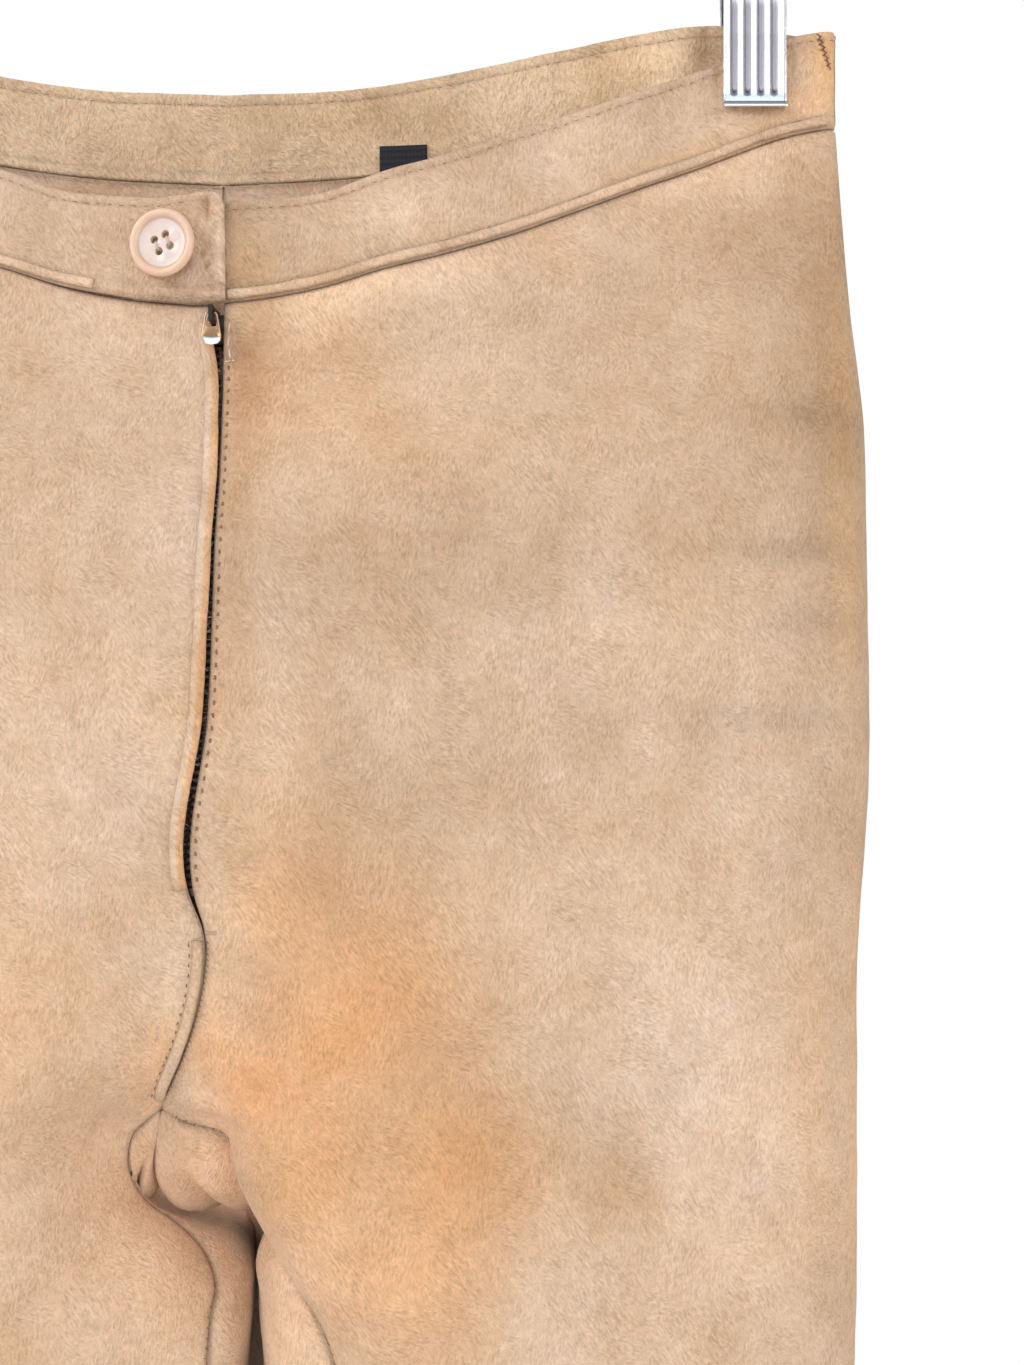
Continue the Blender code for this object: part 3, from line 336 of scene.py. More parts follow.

# Colour multipliers of the patches: brushed and worn nap, a small mark, and painted light and painted shade
TONES = {
    # brushed and worn nap
    "orange": (1.12, 0.91, 0.68),
    # brushed nap, and in places painted light
    "pale": (1.08, 1.13, 1.18),
    # painted shade where the cloth turns away at the sides
    "dark": (0.80, 0.74, 0.66),
    # painted shade in the troughs of folds
    "painted_fold_shade": (0.74, 0.76, 0.76),
    "shade": (0.86, 0.83, 0.78),
    # painted shade in a crease
    "crease": (0.66, 0.50, 0.34),
    "lit_edge": (1.08, 1.1, 1.12),
    "smudge": (0.55, 0.62, 0.72),
    # painted shade in hollows, folds and between the legs
    "painted_deep_shade": (0.78, 0.66, 0.52),
    # painted warm light on lit edges
    "glow": (1.2, 1.08, 0.92),
    # painted light where the cloth lies in shade
    "lift": (1.24, 1.22, 1.2),
    # painted warm light
    "painted_warm_light": (1.22, 1.06, 0.8),
    "shadow": (0.5, 0.42, 0.36),
}
# Patches on each panel, in mm and degrees: x, z, half width, half height, turn, tone, strength. Besides
# brushed and worn nap they lay painted light and painted shade
PATCHES = {
    "front_left": (
        (213, -450, 5.5, 90, 0, "glow", 0.9),
        (44.5, -421.5, 27, 22, 20, "orange", 0.95),
        (84, -455, 22, 28, 20, "orange", 0.9),
        (70, -492, 26, 34, 0, "orange", 0.7),
        (30, -372, 16, 30, 0, "orange", 0.45),
        (60, -400, 30, 26, -20, "orange", 0.5),
        (151, -427.6, 33, 42, 10, "pale", 0.9),
        (116, -480, 14, 22, 0, "pale", 0.4),
        (139, -287, 27, 20, 0, "pale", 0.7),
        (96, -299.5, 22, 13, 10, "pale", 0.75),
        (100, -238, 30, 20, 15, "pale", 0.35),
        (26, -336, 10, 30, 0, "pale", 0.7),
        (28, -302, 12, 14, 0, "pale", 0.35),
        (203, -236, 15, 86, 0, "dark", 0.9),
        (197, -170, 18, 26, 0, "dark", 0.45),
        (196, -227.8, 20, 4.5, 0, "painted_fold_shade", 0.55),
        (188, -270.5, 24, 5, 0, "painted_fold_shade", 0.65),
        (197, -293.4, 14, 5, 0, "painted_fold_shade", 0.55),
        (185, -323.9, 30, 4.5, 0, "painted_fold_shade", 0.5),
        (205, -345, 10, 30, 0, "dark", 0.5),
        (170, -170, 9, 11, 0, "painted_deep_shade", 0.35),
        (134, -467, 15, 11, 0, "painted_deep_shade", 0.4),
        (142, -480, 6, 12, -20, "painted_deep_shade", 0.35),
        (154, -330, 9, 20, 0, "painted_deep_shade", 0.35),
        (148, -350, 10, 14, 0, "painted_deep_shade", 0.25),
        (130, -220, 17, 16, 0, "painted_deep_shade", 0.2),
        (150, -188, 26, 14, 15, "painted_deep_shade", 0.18),
        (88, -344, 22, 16, 0, "painted_deep_shade", 0.14),
        (15.5, -246, 6, 56, 0, "painted_deep_shade", 0.5),
        (21, -222, 11, 38, 0, "painted_deep_shade", 0.6),
        (39, -275, 10, 28, 0, "painted_deep_shade", 0.35),
        (105, -228, 24, 20, 10, "shade", 1.0),
        (108, -288, 30, 14, 0, "shade", 0.8),
        (166, -218, 10, 16, 0, "painted_deep_shade", 0.4),
        (48, -191, 20, 11, 10, "pale", 1.0),
        (150, -338, 62, 20, 0, "pale", 0.9),
        (150, -388, 15, 34, 0, "pale", 0.9),
        (184, -352, 14, 60, 0, "pale", 0.6),
        (204, -350, 9, 44, 0, "pale", 1.0),
        (206, -250, 6, 64, 0, "glow", 0.55),
        (12, -380, 12, 26, 0, "pale", 0.9),
        (38, -461, 19, 26, 0, "orange", 1.0),
        (20, -436, 11, 12, 0, "orange", 0.6),
        (66, -396, 26, 32, 15, "orange", 0.3),
        (75, -404, 10, 16, 0, "shade", 0.5),
        (18, -214, 8, 12, 0, "painted_deep_shade", 0.3),
        (40, -330, 22, 20, 0, "painted_deep_shade", 0.25),
        (93, -460, 14, 14, 0, "shade", 0.6),
        (130, -452, 14, 20, 0, "shade", 0.6),
        (22, -466, 9, 14, 0, "shade", 0.7),
        (168, -214, 30, 22, 0, "shade", 0.5),
        (196, -326, 14, 30, 0, "pale", 0.5),
        (3, -441, 7, 6, 0, "pale", 0.9),
        (19, -300, 7, 26, 0, "painted_deep_shade", 0.35),
        (40, -207, 20, 11, 10, "painted_deep_shade", 0.25),
        (45, -336, 2.4, 1.4, 35, "smudge", 0.5),
        (60, -230, 34, 26, 0, "orange", 0.22),
        (100, -190, 40, 12, 15, "pale", 0.25),
        (190, -392, 16, 26, 0, "painted_deep_shade", 0.24),
        (196, -440, 9, 60, 0, "orange", 0.35),
        (60, -700, 60, 90, 0, "orange", 0.3),
        (120, -820, 60, 80, 0, "pale", 0.35),
        (90, -1100, 70, 90, 0, "painted_deep_shade", 0.2),
        (75, -182, 44, 9, 12, "lift", 0.75),
        (39, -200, 10, 10, 0, "lift", 0.6),
        (21, -381, 10, 10, 0, "lift", 0.6),
        (21, -444, 9, 18, 0, "lift", 0.5),
        (57, -490, 26, 12, 0, "lift", 0.65),
        (175, -444, 18, 18, 0, "lift", 0.5),
        (175, -490, 18, 12, 0, "lift", 0.45),
        (165, -146, 22, 9, 15, "lift", 0.6),
        (8, -428, 9, 24, 0, "lift", 1.0),
        (8, -428, 9, 24, 0, "orange", 0.35),
        (22, -186, 9, 12, 0, "painted_deep_shade", 0.5),
        (50, -184, 18, 8, 10, "lift", 0.5),
    ),
    "front_right": (
        (-12, -340, 8, 34, 0, "pale", 0.65),
        (2, -280, 10, 44, 0, "pale", 0.7),
        (0, -402, 14, 28, 0, "pale", 1.0),
        (-8, -480, 20, 40, 0, "lift", 1.0),
        (-14, -232, 12, 20, 0, "painted_deep_shade", 0.2),
        (-10, -430, 10, 16, 0, "orange", 0.4),
        (-70, -420, 36, 40, 0, "orange", 0.6),
        (-150, -400, 40, 50, 0, "pale", 0.6),
        (-203, -240, 14, 90, 0, "dark", 0.7),
        (-100, -300, 40, 24, 0, "pale", 0.5),
        (-60, -560, 40, 60, 0, "orange", 0.35),
        (-110, -780, 60, 90, 0, "pale", 0.3),
        (3, -392, 8, 24, 0, "pale", 0.5),
        (-1, -436, 9, 26, 0, "painted_warm_light", 0.7),
        (-2, -475, 10, 14, 0, "lift", 0.8),
    ),
    "back_left": (
        (90, -330, 70, 60, 0, "pale", 0.5),
        (60, -440, 50, 40, 0, "painted_deep_shade", 0.3),
        (203, -260, 14, 90, 0, "dark", 0.5),
        (110, -640, 50, 90, 0, "orange", 0.3),
        (8, -470, 24, 22, 0, "lift", 1.0),
        (30, -520, 16, 30, 0, "lift", 1.0),
        (8, -465, 13, 13, 0, "lift", 0.8),
        (100, -900, 60, 100, 0, "pale", 0.3),
    ),
    "back_right": (
        (-100, -320, 70, 70, 0, "pale", 0.4),
        (-70, -430, 50, 40, 0, "orange", 0.4),
        (-203, -260, 14, 90, 0, "dark", 0.5),
        (-90, -700, 50, 90, 0, "orange", 0.3),
        (-2, -478, 28, 34, 0, "lift", 1.0),
        (-110, -950, 60, 100, 0, "pale", 0.3),
        (3, -471, 14, 12, 0, "lift", 0.8),
    ),
}
# Folds on each panel, in mm: from x, z to x, z, half width, height (below 0 is a trough)
CREASES = {
    "front_left": (
        (50.6, -372.7, 102.4, -467.3, 13, -1.3),
        (62, -362, 118, -452, 10, 0.9),
        (117, -455, 145, -479, 8, -1.0),
        (108, -462, 132, -490, 7, 0.6),
        (178, -228, 213, -227, 3.5, -0.7),
        (176, -270.5, 214, -270, 4, -0.9),
        (172, -277, 212, -276, 4, 0.5),
        (184, -293, 214, -293.5, 3.5, -0.8),
        (160, -324, 214, -323, 4, -0.8),
        (170, -331, 212, -330, 4, 0.45),
        (150, -350, 212, -346, 6, -0.5),
        (40, -212, 80, -238, 8, -0.5),
        (24, -205, 44, -216, 5, -0.6),
        (90, -196, 150, -186, 7, -0.5),
        (12, -384, 34, -372, 3.5, -0.6),
        (10, -392, 30, -400, 3.5, -0.6),
        (8, -410, 34, -428, 4.5, -0.7),
        (14, -426, 52, -448, 5, 0.6),
        (5, -440, 40, -470, 4, -0.6),
        (4.5, -431, 10.5, -446, 2.4, -1.1),
        (9.5, -431, 15.5, -446, 3.2, 1.0),
        (20, -470, 62, -520, 7, 0.9),
        (60, -510, 90, -620, 12, -1.2),
        (150, -560, 120, -690, 12, -1.1),
        (40, -760, 160, -735, 12, -1.6),
        (60, -800, 180, -790, 13, -1.2),
        (50, -840, 150, -870, 12, 1.2),
        (110, -930, 96, -1090, 14, -1.1),
        (60, -1110, 170, -1130, 11, -0.9),
        (40, -1160, 110, -1168, 9, 0.8),
    ),
    "front_right": (
        (-48, -370, -98, -462, 13, -1.2),
        (-120, -450, -150, -486, 8, -0.9),
        (-176, -236, -213, -233, 4, -0.8),
        (-170, -282, -214, -284, 4, -0.8),
        (-165, -330, -214, -326, 4.5, -0.7),
        (-30, -206, -60, -226, 6, -0.6),
        (-11, -384, -34, -370, 3.5, -0.6),
        (-10, -404, -34, -420, 4, -0.7),
        (-9, -424, -40, -452, 4.5, 0.6),
        (-16, -450, -52, -508, 6, -0.8),
        (-60, -520, -100, -640, 12, -1.2),
        (-52, -756, -168, -748, 13, -1.5),
        (-40, -812, -140, -838, 12, -1.1),
        (-98, -930, -120, -1080, 13, 1.0),
        (-50, -1128, -150, -1112, 11, -0.9),
    ),
    "back_left": (
        (24, -404, 90, -440, 7, -1.4),
        (22, -428, 110, -462, 8, -1.2),
        (30, -386, 120, -396, 8, -0.8),
        (150, -200, 212, -214, 7, -0.8),
        (40, -520, 120, -500, 10, -1.3),
        (50, -550, 150, -560, 11, 1.1),
        (30, -742, 160, -760, 12, -2.0),
        (50, -772, 176, -780, 9, 1.3),
        (40, -800, 150, -826, 12, -1.7),
        (150, -860, 130, -1010, 14, -1.2),
        (60, -1090, 160, -1120, 11, -1.0),
    ),
    "back_right": (
        (-24, -400, -96, -446, 7, -1.4),
        (-30, -430, -120, -470, 8, -1.1),
        (-40, -384, -126, -390, 8, -0.7),
        (-146, -206, -212, -198, 7, -0.8),
        (-40, -516, -130, -514, 10, -1.3),
        (-44, -736, -166, -752, 12, -2.0),
        (-60, -768, -180, -764, 9, 1.2),
        (-36, -806, -140, -818, 12, -1.6),
        (-90, -880, -110, -1020, 13, 1.0),
        (-60, -1110, -150, -1096, 11, -1.0),
    ),
}
FACING_CREASES = (
    (-190, -118, 190, -116, 3, -0.25), (18, -126, 40, -117, 2.5, -0.4), (60, -128, 70, -112, 2.2, -0.5)
)
# Patches on the front band: painted shadow round the clip, painted light and painted warm light, and brushed
# nap
BAND_PATCHES = (
    (203, -108, 6, 14, 0, "painted_warm_light", 1.0),
    (196, -124, 12, 6, 10, "glow", 0.6),
    (166.9, -110, 1.7, 13, 0, "shadow", 0.75),
    (163.5, -112, 3.5, 13, 0, "shadow", 0.35),
    (191.2, -110, 1.5, 13, 0, "shadow", 0.5),
    (193.5, -110, 2.6, 13, 0, "shadow", 0.2),
    (179.2, -125.8, 11, 1.5, 0, "shadow", 0.6),
    (122, -140, 30, 9, 18, "pale", 0.7),
    (40, -172, 12, 12, 0, "pale", 0.5),
    (18, -180, 8, 12, 0, "glow", 0.5),
    (66, -164, 14, 9, 12, "lift", 0.7),
    (64, -164, 14, 9, 12, "pale", 0.6),
    (166, -146, 26, 8, 18, "painted_warm_light", 0.8),
)
# Patches on the facing: painted shadow beside the clip, painted light, painted shade, and brushed nap
FACING_PATCHES = (
    (163, -104, 5, 12, 0, "shadow", 0.9),
    (138, -110, 24, 12, 0, "lift", 0.8),
    (60, -118, 40, 8, 0, "painted_deep_shade", 0.3),
    (10, -128, 40, 10, 0, "shade", 0.3),
    (110, -112, 26, 9, 10, "pale", 0.35),
)
BUTTON_HOLE_TURN = 68
CLIP_FLUTE_START = -9.1
CLIP_FLUTE_PITCH = 4.35

CAMERA_AT = (0.100, -0.475, -0.3123)
CAMERA_LENS = 38.05
CAMERA_SENSOR = 36
FLOOR_Z = -1.232
FLOOR_RADIUS = 1.15
AMBIENT = 0.455
# Lights: name, place, aim, size, energy in watts, colour
LIGHTS = (
    ("key", (-1.35, -1.0, 0.65), (0.08, 0, -0.3), (1.1, 1.1), 16.6, (1.0, 0.98, 0.95)),
    ("front", (0.1, -2.4, -0.1), (0.1, 0, -0.3), (2.2, 2.2), 18, (1.0, 1.0, 1.0)),
    ("right", (1.5, -0.7, -0.3), (0.15, 0, -0.4), (0.7, 1.5), 8.4, (1.0, 0.96, 0.9)),
    ("low", (-0.5, -0.9, -0.95), (0.02, 0, -0.46), (0.5, 0.5), 1.2, (1.0, 0.98, 0.95)),
    ("back", (0.4, 1.6, 0.5), (0.0, 0, -0.4), (1.2, 1.2), 14, (0.98, 0.99, 1.0)),
)


def smooth_line(xs, ys, at):
    """A smooth curve through the points (xs, ys), read at the values given."""
    xs = np.asarray(xs, float)
    ys = np.asarray(ys, float)
    slopes = np.gradient(ys, xs, axis=0)
    at = np.clip(at, xs[0], xs[-1])
    left = np.clip(np.searchsorted(xs, at, side="right") - 1, 0, len(xs) - 2)
    width = xs[left + 1] - xs[left]
    t = (at - xs[left]) / width
    if ys.ndim > 1:
        t = t[..., None]
        width = width[..., None]
    h00 = 2 * t**3 - 3 * t**2 + 1
    h10 = t**3 - 2 * t**2 + t
    h01 = 3 * t**2 - 2 * t**3
    h11 = t**3 - t**2
    return h00 * ys[left] + h10 * width * slopes[left] + h01 * ys[left + 1] + h11 * width * slopes[left + 1]


def read(table, key, column, at):
    """A table's column at the places given along its first named column."""
    return smooth_line(table[key], table[column], np.asarray(at, float))


def ramp(value):
    """A smooth step from 0 to 1."""
    value = np.clip(value, 0, 1)
    return value * value * (3 - 2 * value)


def waist_of(face):
    """The front's or the back's waist table."""
    return FRONT_WAIST if face == "front" else BACK_WAIST


def face_depth(face, x, z):
    """How far the cloth stands from the side seams' plane, at a distance x from the centre and height z."""
    waist = waist_of(face)
    outer = read(FORM, "z", "outer", z)
    x = np.clip(np.abs(x), 0, outer)
    below = read(waist, "x", "seam", np.minimum(x, WAIST_END)) - z
    body = read(FORM, "z", face, z) * (1 - (x / outer) ** BODY_POWER) ** 0.5
    near_side = np.clip((x - (outer - SIDE_ROUND)) / SIDE_ROUND, 0, 1)
    edge = np.sqrt(1 - near_side**2)
    band = read(waist, "x", "depth", np.minimum(x, WAIST_END)) * edge
    body = np.maximum(body, 0) * (1 - 0.12 * (1 - edge)) + 2.2 * edge * (x / outer) ** 8
    share = ramp(below / BODY_BLEND)
    return band * (1 - share) + body * share


def row_shape(rows, face, heights):
    """Points of each row from the inner seam to the side seam, in mm, at the heights given."""
    table = np.array(rows, float)[::-1]
    keys = smooth_line(table[:, 0], table, np.asarray(heights, float))
    sign = -1 if face == "front" else 1
    t = INNER_T[:, None]
    made = []
    for key in keys:
        row, x, y, z, out_x, out_y, out_z, join, pull, dip = key
        seam = np.array((x, y, z))
        leave = np.array((out_x, out_y, out_z))
        meet = np.array((join, sign * float(face_depth(face, join, row)), row))
        arrive = np.array((pull, 0, 0))
        inner = (
            (2 * t**3 - 3 * t**2 + 1) * seam
            + (t**3 - 2 * t**2 + t) * leave
            + (3 * t**2 - 2 * t**3) * meet
            + (t**3 - t**2) * arrive
        )
        inner[:, 2] -= dip * 4 * t[:, 0] * (1 - t[:, 0])
        outer_x = float(read(FORM, "z", "outer", row))
        straight = join + (outer_x - SIDE_ROUND - join) * OUTER_T
        xs = np.concatenate([straight, outer_x - SIDE_ROUND + SIDE_ROUND * np.sin(ROUND_T)])
        ys = sign * face_depth(face, xs, np.full(len(xs), row))
        made.append(np.vstack([inner, np.column_stack([xs, ys, np.full(len(xs), row)])]))
    return np.array(made)


def waist_rows(rows, face, side, steps):
    """Rows between the waist seam (step 0) and the first level row (step 1)."""
    flat = row_shape(rows, face, [FLAT_Z])[0]
    share = (flat[:, 0] - flat[0, 0]) / (flat[-1, 0] - flat[0, 0])
    sign = -1 if face == "front" else 1
    waist = waist_of(face)
    made = []
    for step in steps:
        x = np.minimum(flat[:, 0], WAIST_END)
        for _ in range(4):
            seam_z = read(waist, "x", "seam", np.clip(x, 0, WAIST_END))
            z = seam_z + (FLAT_Z - seam_z) * step
            edge_x = 0.0
            if face == "front":
                edge_x = float(read(FLY, "z", side, z[0])) * (1 if side == "left" else -1)
            outer = read(FORM, "z", "outer", np.minimum(z, WAIST_LEVEL_Z))
            x = edge_x + share * (outer - edge_x)
        made.append(np.column_stack([x, sign * face_depth(face, x, z), z]))
    return np.array(made)


def half_normals(front, back, closed_from):
    """Outward normals of the half garment's rows, run round from the front's inner seam to the back's."""
    loop = np.concatenate([front, back[:, -2::-1]], axis=1)
    along = np.gradient(loop, axis=1)
    down = np.gradient(loop, axis=0)
    ahead = loop[closed_from:, 1] - loop[closed_from:, 0]
    behind = loop[closed_from:, -1] - loop[closed_from:, -2]
    wrap = unit(ahead) + unit(behind)
    along[closed_from:, 0] = wrap
    along[closed_from:, -1] = wrap
    normals = np.cross(down, along)
    normals /= np.linalg.norm(normals, axis=2, keepdims=True)
    columns = front.shape[1]
    return normals[:, :columns], normals[:, columns - 1 :][:, ::-1]


def unit(vectors):
    """Vectors made one long."""
    return vectors / np.linalg.norm(vectors, axis=-1, keepdims=True)


def toward(points, others):
    """Unit steps from points to others."""
    return unit(others - points)


def outline_of(rows, columns):
    """Row and column of each border vertex of a grid, in order round it."""
    border = [(0, c) for c in range(columns)]
    border += [(r, columns - 1) for r in range(1, rows)]
    border += [(rows - 1, c) for c in range(columns - 2, -1, -1)]
    border += [(r, 0) for r in range(rows - 2, 0, -1)]
    return np.array(border)


def shell(name, outside, normals, thickness, finish, tone=None, turned=True, mirrored=False):
    """A closed cloth shell from a grid of outside points, with half-round edges all the way round."""
    rows, columns = outside.shape[:2]
    outside = outside.copy()
    border = outline_of(rows, columns)
    r = border[:, 0]
    c = border[:, 1]
    away = outside[r, c] - outside[np.clip(r, 1, rows - 2), np.clip(c, 1, columns - 2)]
    away -= normals[r, c] * (away * normals[r, c]).sum(axis=1, keepdims=True)
    away = unit(away)
    bulge = thickness / 2 if turned else thickness / 6
    outside[r, c] -= away * min(bulge, 0.0006)
    inside = outside - normals * thickness
    layers = [outside.reshape(-1, 3), inside.reshape(-1, 3)]
    for step in range(1, RIM_STEPS):
        angle = math.pi * step / RIM_STEPS
        ring = outside[r, c] + away * bulge * math.sin(angle)
        layers.append(ring - normals[r, c] * thickness / 2 * (1 - math.cos(angle)))
    points = np.concatenate(layers)
    index = np.arange(rows * columns).reshape(rows, columns)
    quads = np.stack([index[:-1, :-1], index[:-1, 1:], index[1:, 1:], index[1:, :-1]], axis=-1)
    quads = quads.reshape(-1, 4)
    faces = [quads, quads[:, ::-1] + rows * columns]
    flat = index[r, c]
    rings = [flat]
    rings += [2 * rows * columns + step * len(flat) + np.arange(len(flat)) for step in range(RIM_STEPS - 1)]
    rings.append(flat + rows * columns)
    for one, other in zip(rings, rings[1:]):
        faces.append(np.stack([np.roll(one, -1), one, other, np.roll(other, -1)], axis=-1))
    tones = None
    if tone is not None:
        flat_tone = tone.reshape(-1, 3)
        tones = [flat_tone, np.ones_like(flat_tone)] + [tone[r, c]] * (RIM_STEPS - 1)
        tones = np.concatenate(tones)
    if mirrored:
        points = points * (-1, 1, 1)
    return build_mesh(name, points, np.concatenate(faces), finish, tones)


def build_mesh(name, points, faces, finish, tones=None, smooth=True):
    """A mesh object with its finish, and with its tones on its points."""
    points = np.asarray(points, float)
    if isinstance(faces, np.ndarray):
        corners = points[faces]
        volume = 0.0
        for k in range(1, faces.shape[1] - 1):
            volume += (corners[:, 0] * np.cross(corners[:, k], corners[:, k + 1])).sum()
        if volume < 0:
            faces = faces[:, ::-1]
    mesh = bpy.data.meshes.new(name)
    mesh.from_pydata(points, [], faces.tolist() if isinstance(faces, np.ndarray) else faces)
    if smooth:
        mesh.shade_smooth()
    if tones is not None:
        layer = mesh.attributes.new("tone", "FLOAT_COLOR", "POINT")
        colours = np.ones((len(points), 4), np.float32)
        colours[:, :3] = tones
        layer.data.foreach_set("color", colours.ravel())
    mesh.materials.append(finish)
    made = bpy.data.objects.new(name, mesh)
    bpy.context.scene.collection.objects.link(made)
    return made


def place(piece, slot, *nodes):
    """The piece rides on the trousers and stands for the named solids, which it hides. Its slot is not used.
    """
    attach(piece, BODY)
    if nodes:
        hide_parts(*nodes)
    return piece


def sweep(name, path, ups, profile, finish, sizes=None, tones=None, edge_tones=None):
    """A closed strip along a path: the profile's points are (across, up), in mm, and ups are the normals."""
    path = np.asarray(path, float)
    ahead = unit(np.gradient(path, axis=0))
    across = unit(np.cross(ups, ahead))
    up = np.cross(ahead, across)
    scale = np.ones(len(path)) if sizes is None else sizes
    rings = [path[:, None] + MM * (scale[:, None] * (a * across + u * up))[:, None] for a, u in profile]
    rings = np.concatenate(rings, axis=1)
    count = len(profile)
    ring = np.arange(count)
    faces = []
    for i in range(len(path) - 1):
        here = i * count + ring
        after = i * count + np.roll(ring, -1)
        faces.append(np.stack([here, after, after + count, here + count], axis=-1))
    points = rings.reshape(-1, 3)
    ends = [points[:count].mean(axis=0), points[-count:].mean(axis=0)]
    points = np.vstack([points, ends])
    first = len(points) - 2
    last = (len(path) - 1) * count
    faces = np.concatenate(faces).tolist()
    faces += [[int(first), int(k), int(j)] for j, k in zip(ring, np.roll(ring, -1))]
    faces += [[int(first) + 1, int(last + j), int(last + k)] for j, k in zip(ring, np.roll(ring, -1))]
    shade = None
    if tones is not None:
        shade = np.repeat(tones, count, axis=0)
        if edge_tones is not None:
            shade = shade * np.tile(edge_tones, (len(path), 1))
        shade = np.vstack([shade, tones[:1], tones[-1:]])
    made = build_mesh(name, points, faces, finish, shade)
    turn_out(made)
    return made


def turn_out(obj):
    """Turns every face of a closed mesh outwards."""
    mesh = obj.data
    mesh.calc_loop_triangles()
    points = np.array([v.co for v in mesh.vertices])
    corners = points[np.array([t.vertices for t in mesh.loop_triangles])]
    if (corners[:, 0] * np.cross(corners[:, 1], corners[:, 2])).sum() < 0:
        mesh.flip_normals()


def rolled(width, height, base, steps=10):
    """A rounded profile that lies on a surface, from one foot over the top to the other, in mm."""
    angles = np.linspace(0, math.pi, steps)
    top = [(width / 2 * math.cos(a), base + height * math.sin(a) ** 0.8) for a in angles]
    return top + [(-width / 2 * 0.8, base - 0.15), (width / 2 * 0.8, base - 0.15)]


def resample(path, ups, step):
    """Points at an even step, in metres, along a path, with their normals and directions."""
    lengths = np.concatenate([[0], np.cumsum(np.linalg.norm(np.diff(path, axis=0), axis=1))])
    at = np.arange(step / 2, lengths[-1], step)
    spots = np.stack([np.interp(at, lengths, path[:, k]) for k in range(3)], axis=1)
    normals = unit(np.stack([np.interp(at, lengths, ups[:, k]) for k in range(3)], axis=1))
    heading = np.gradient(path, lengths, axis=0)
    heading = unit(np.stack([np.interp(at, lengths, heading[:, k]) for k in range(3)], axis=1))
    return spots, normals, heading


def thread_run(name, path, ups, finish, pitch, length, radius, lift=0.1, slant=0.0, rng=None, spread=0.0):
    """A row of separate stitches along a path, each a short arched thread, all sizes in mm."""
    spots, normals, heading = resample(path, ups, pitch * MM)
    across = np.cross(normals, heading)
    angle = math.radians(slant)
    along = heading * math.cos(angle) + across * math.sin(angle)
    if rng is not None:
        along = unit(along + across * rng.normal(0, 0.12 + spread, (len(along), 1)))
        spots = spots + across * rng.normal(0, 0.1, (len(along), 1)) * MM
        length = length * (1 + rng.normal(0, 0.08, (len(along), 1)))
    return threads(name, spots, along, normals, length, radius, lift, finish)


def threads(name, spots, along, normals, length, radius, lift, finish):
    """Short arched threads centred on spots. Their ends dip into the cloth."""
    side = unit(np.cross(normals, along))
    length = np.broadcast_to(length, (len(spots), 1))
    places = np.linspace(-0.5, 0.5, 5)
    girth = (0.45, 0.95, 1.0, 0.95, 0.45)
    corners = np.linspace(0, 2 * math.pi, 7)[:-1]
    layers = []
    for place_at, wide in zip(places, girth):
        arch = lift + radius * 1.6 * (1 - (2 * place_at) ** 2) - radius * 0.9
        middle = spots + along * length * place_at * MM + normals * arch * MM
        for corner in corners:
            turn = side * math.cos(corner) + normals * math.sin(corner)
            layers.append(middle + turn * radius * wide * MM)
    points = np.stack(layers, axis=1)
    count = len(spots)
    per = len(layers)
    ring = np.arange(6)
    one = []
    for level in range(4):
        here = level * 6 + ring
        after = level * 6 + np.roll(ring, -1)
        one += np.stack([here, after, after + 6, here + 6], axis=-1).tolist()
    quads = np.array(one)
    ends = np.array([ring[::-1][:4], ring[::-1][[3, 4, 5, 0]], 24 + ring[:4], 24 + ring[[3, 4, 5, 0]]])
    single = np.concatenate([quads, ends])
    faces = (single[None] + per * np.arange(count)[:, None, None]).reshape(-1, 4)
    made = build_mesh(name, points.reshape(-1, 3), faces, finish)
    turn_out(made)
    return made


def waves(points, scale, seed, count=24):
    """A smooth uneven field of about unit size, from sines in random directions. scale is in metres."""
    rng = np.random.default_rng(seed)
    value = np.zeros(points.shape[:-1])
    for _ in range(count):
        way = unit(rng.normal(0, 1, 3)) * (2 * math.pi / (scale * rng.uniform(0.6, 1.8)))
        value += np.sin(points @ way + rng.uniform(0, 2 * math.pi))
    return value / math.sqrt(count / 2)


def spot_weight(points, x, z, wide, high, turn):
    """How strongly a soft oval patch shows at each point. Sizes in mm, turn in degrees."""
    angle = math.radians(turn)
    dx = points[..., 0] / MM - x
    dz = points[..., 2] / MM - z
    a = (dx * math.cos(angle) + dz * math.sin(angle)) / wide
    b = (-dx * math.sin(angle) + dz * math.cos(angle)) / high
    return np.exp(-(a * a + b * b))


def crease_lift(points, creases):
    """Height in mm of the listed folds: each runs between two points and fades at its ends."""
    total = np.zeros(points.shape[:-1])
    for crease in creases:
        x0, z0, x1, z1, wide, height = crease
        run = np.array((x1 - x0, z1 - z0), float)
        length = np.linalg.norm(run)
        run /= length
        dx = points[..., 0] / MM - x0
        dz = points[..., 2] / MM - z0
        along = (dx * run[0] + dz * run[1]) / length
        bend = 0.12 * length * np.sin(along * 3.1 + x0) * 0.4
        across = -dx * run[1] + dz * run[0] + bend
        fade = ramp((along + 0.15) / 0.4) * ramp((1.15 - along) / 0.4)
        total += height * fade * np.exp(-((across / wide) ** 2))
    return total


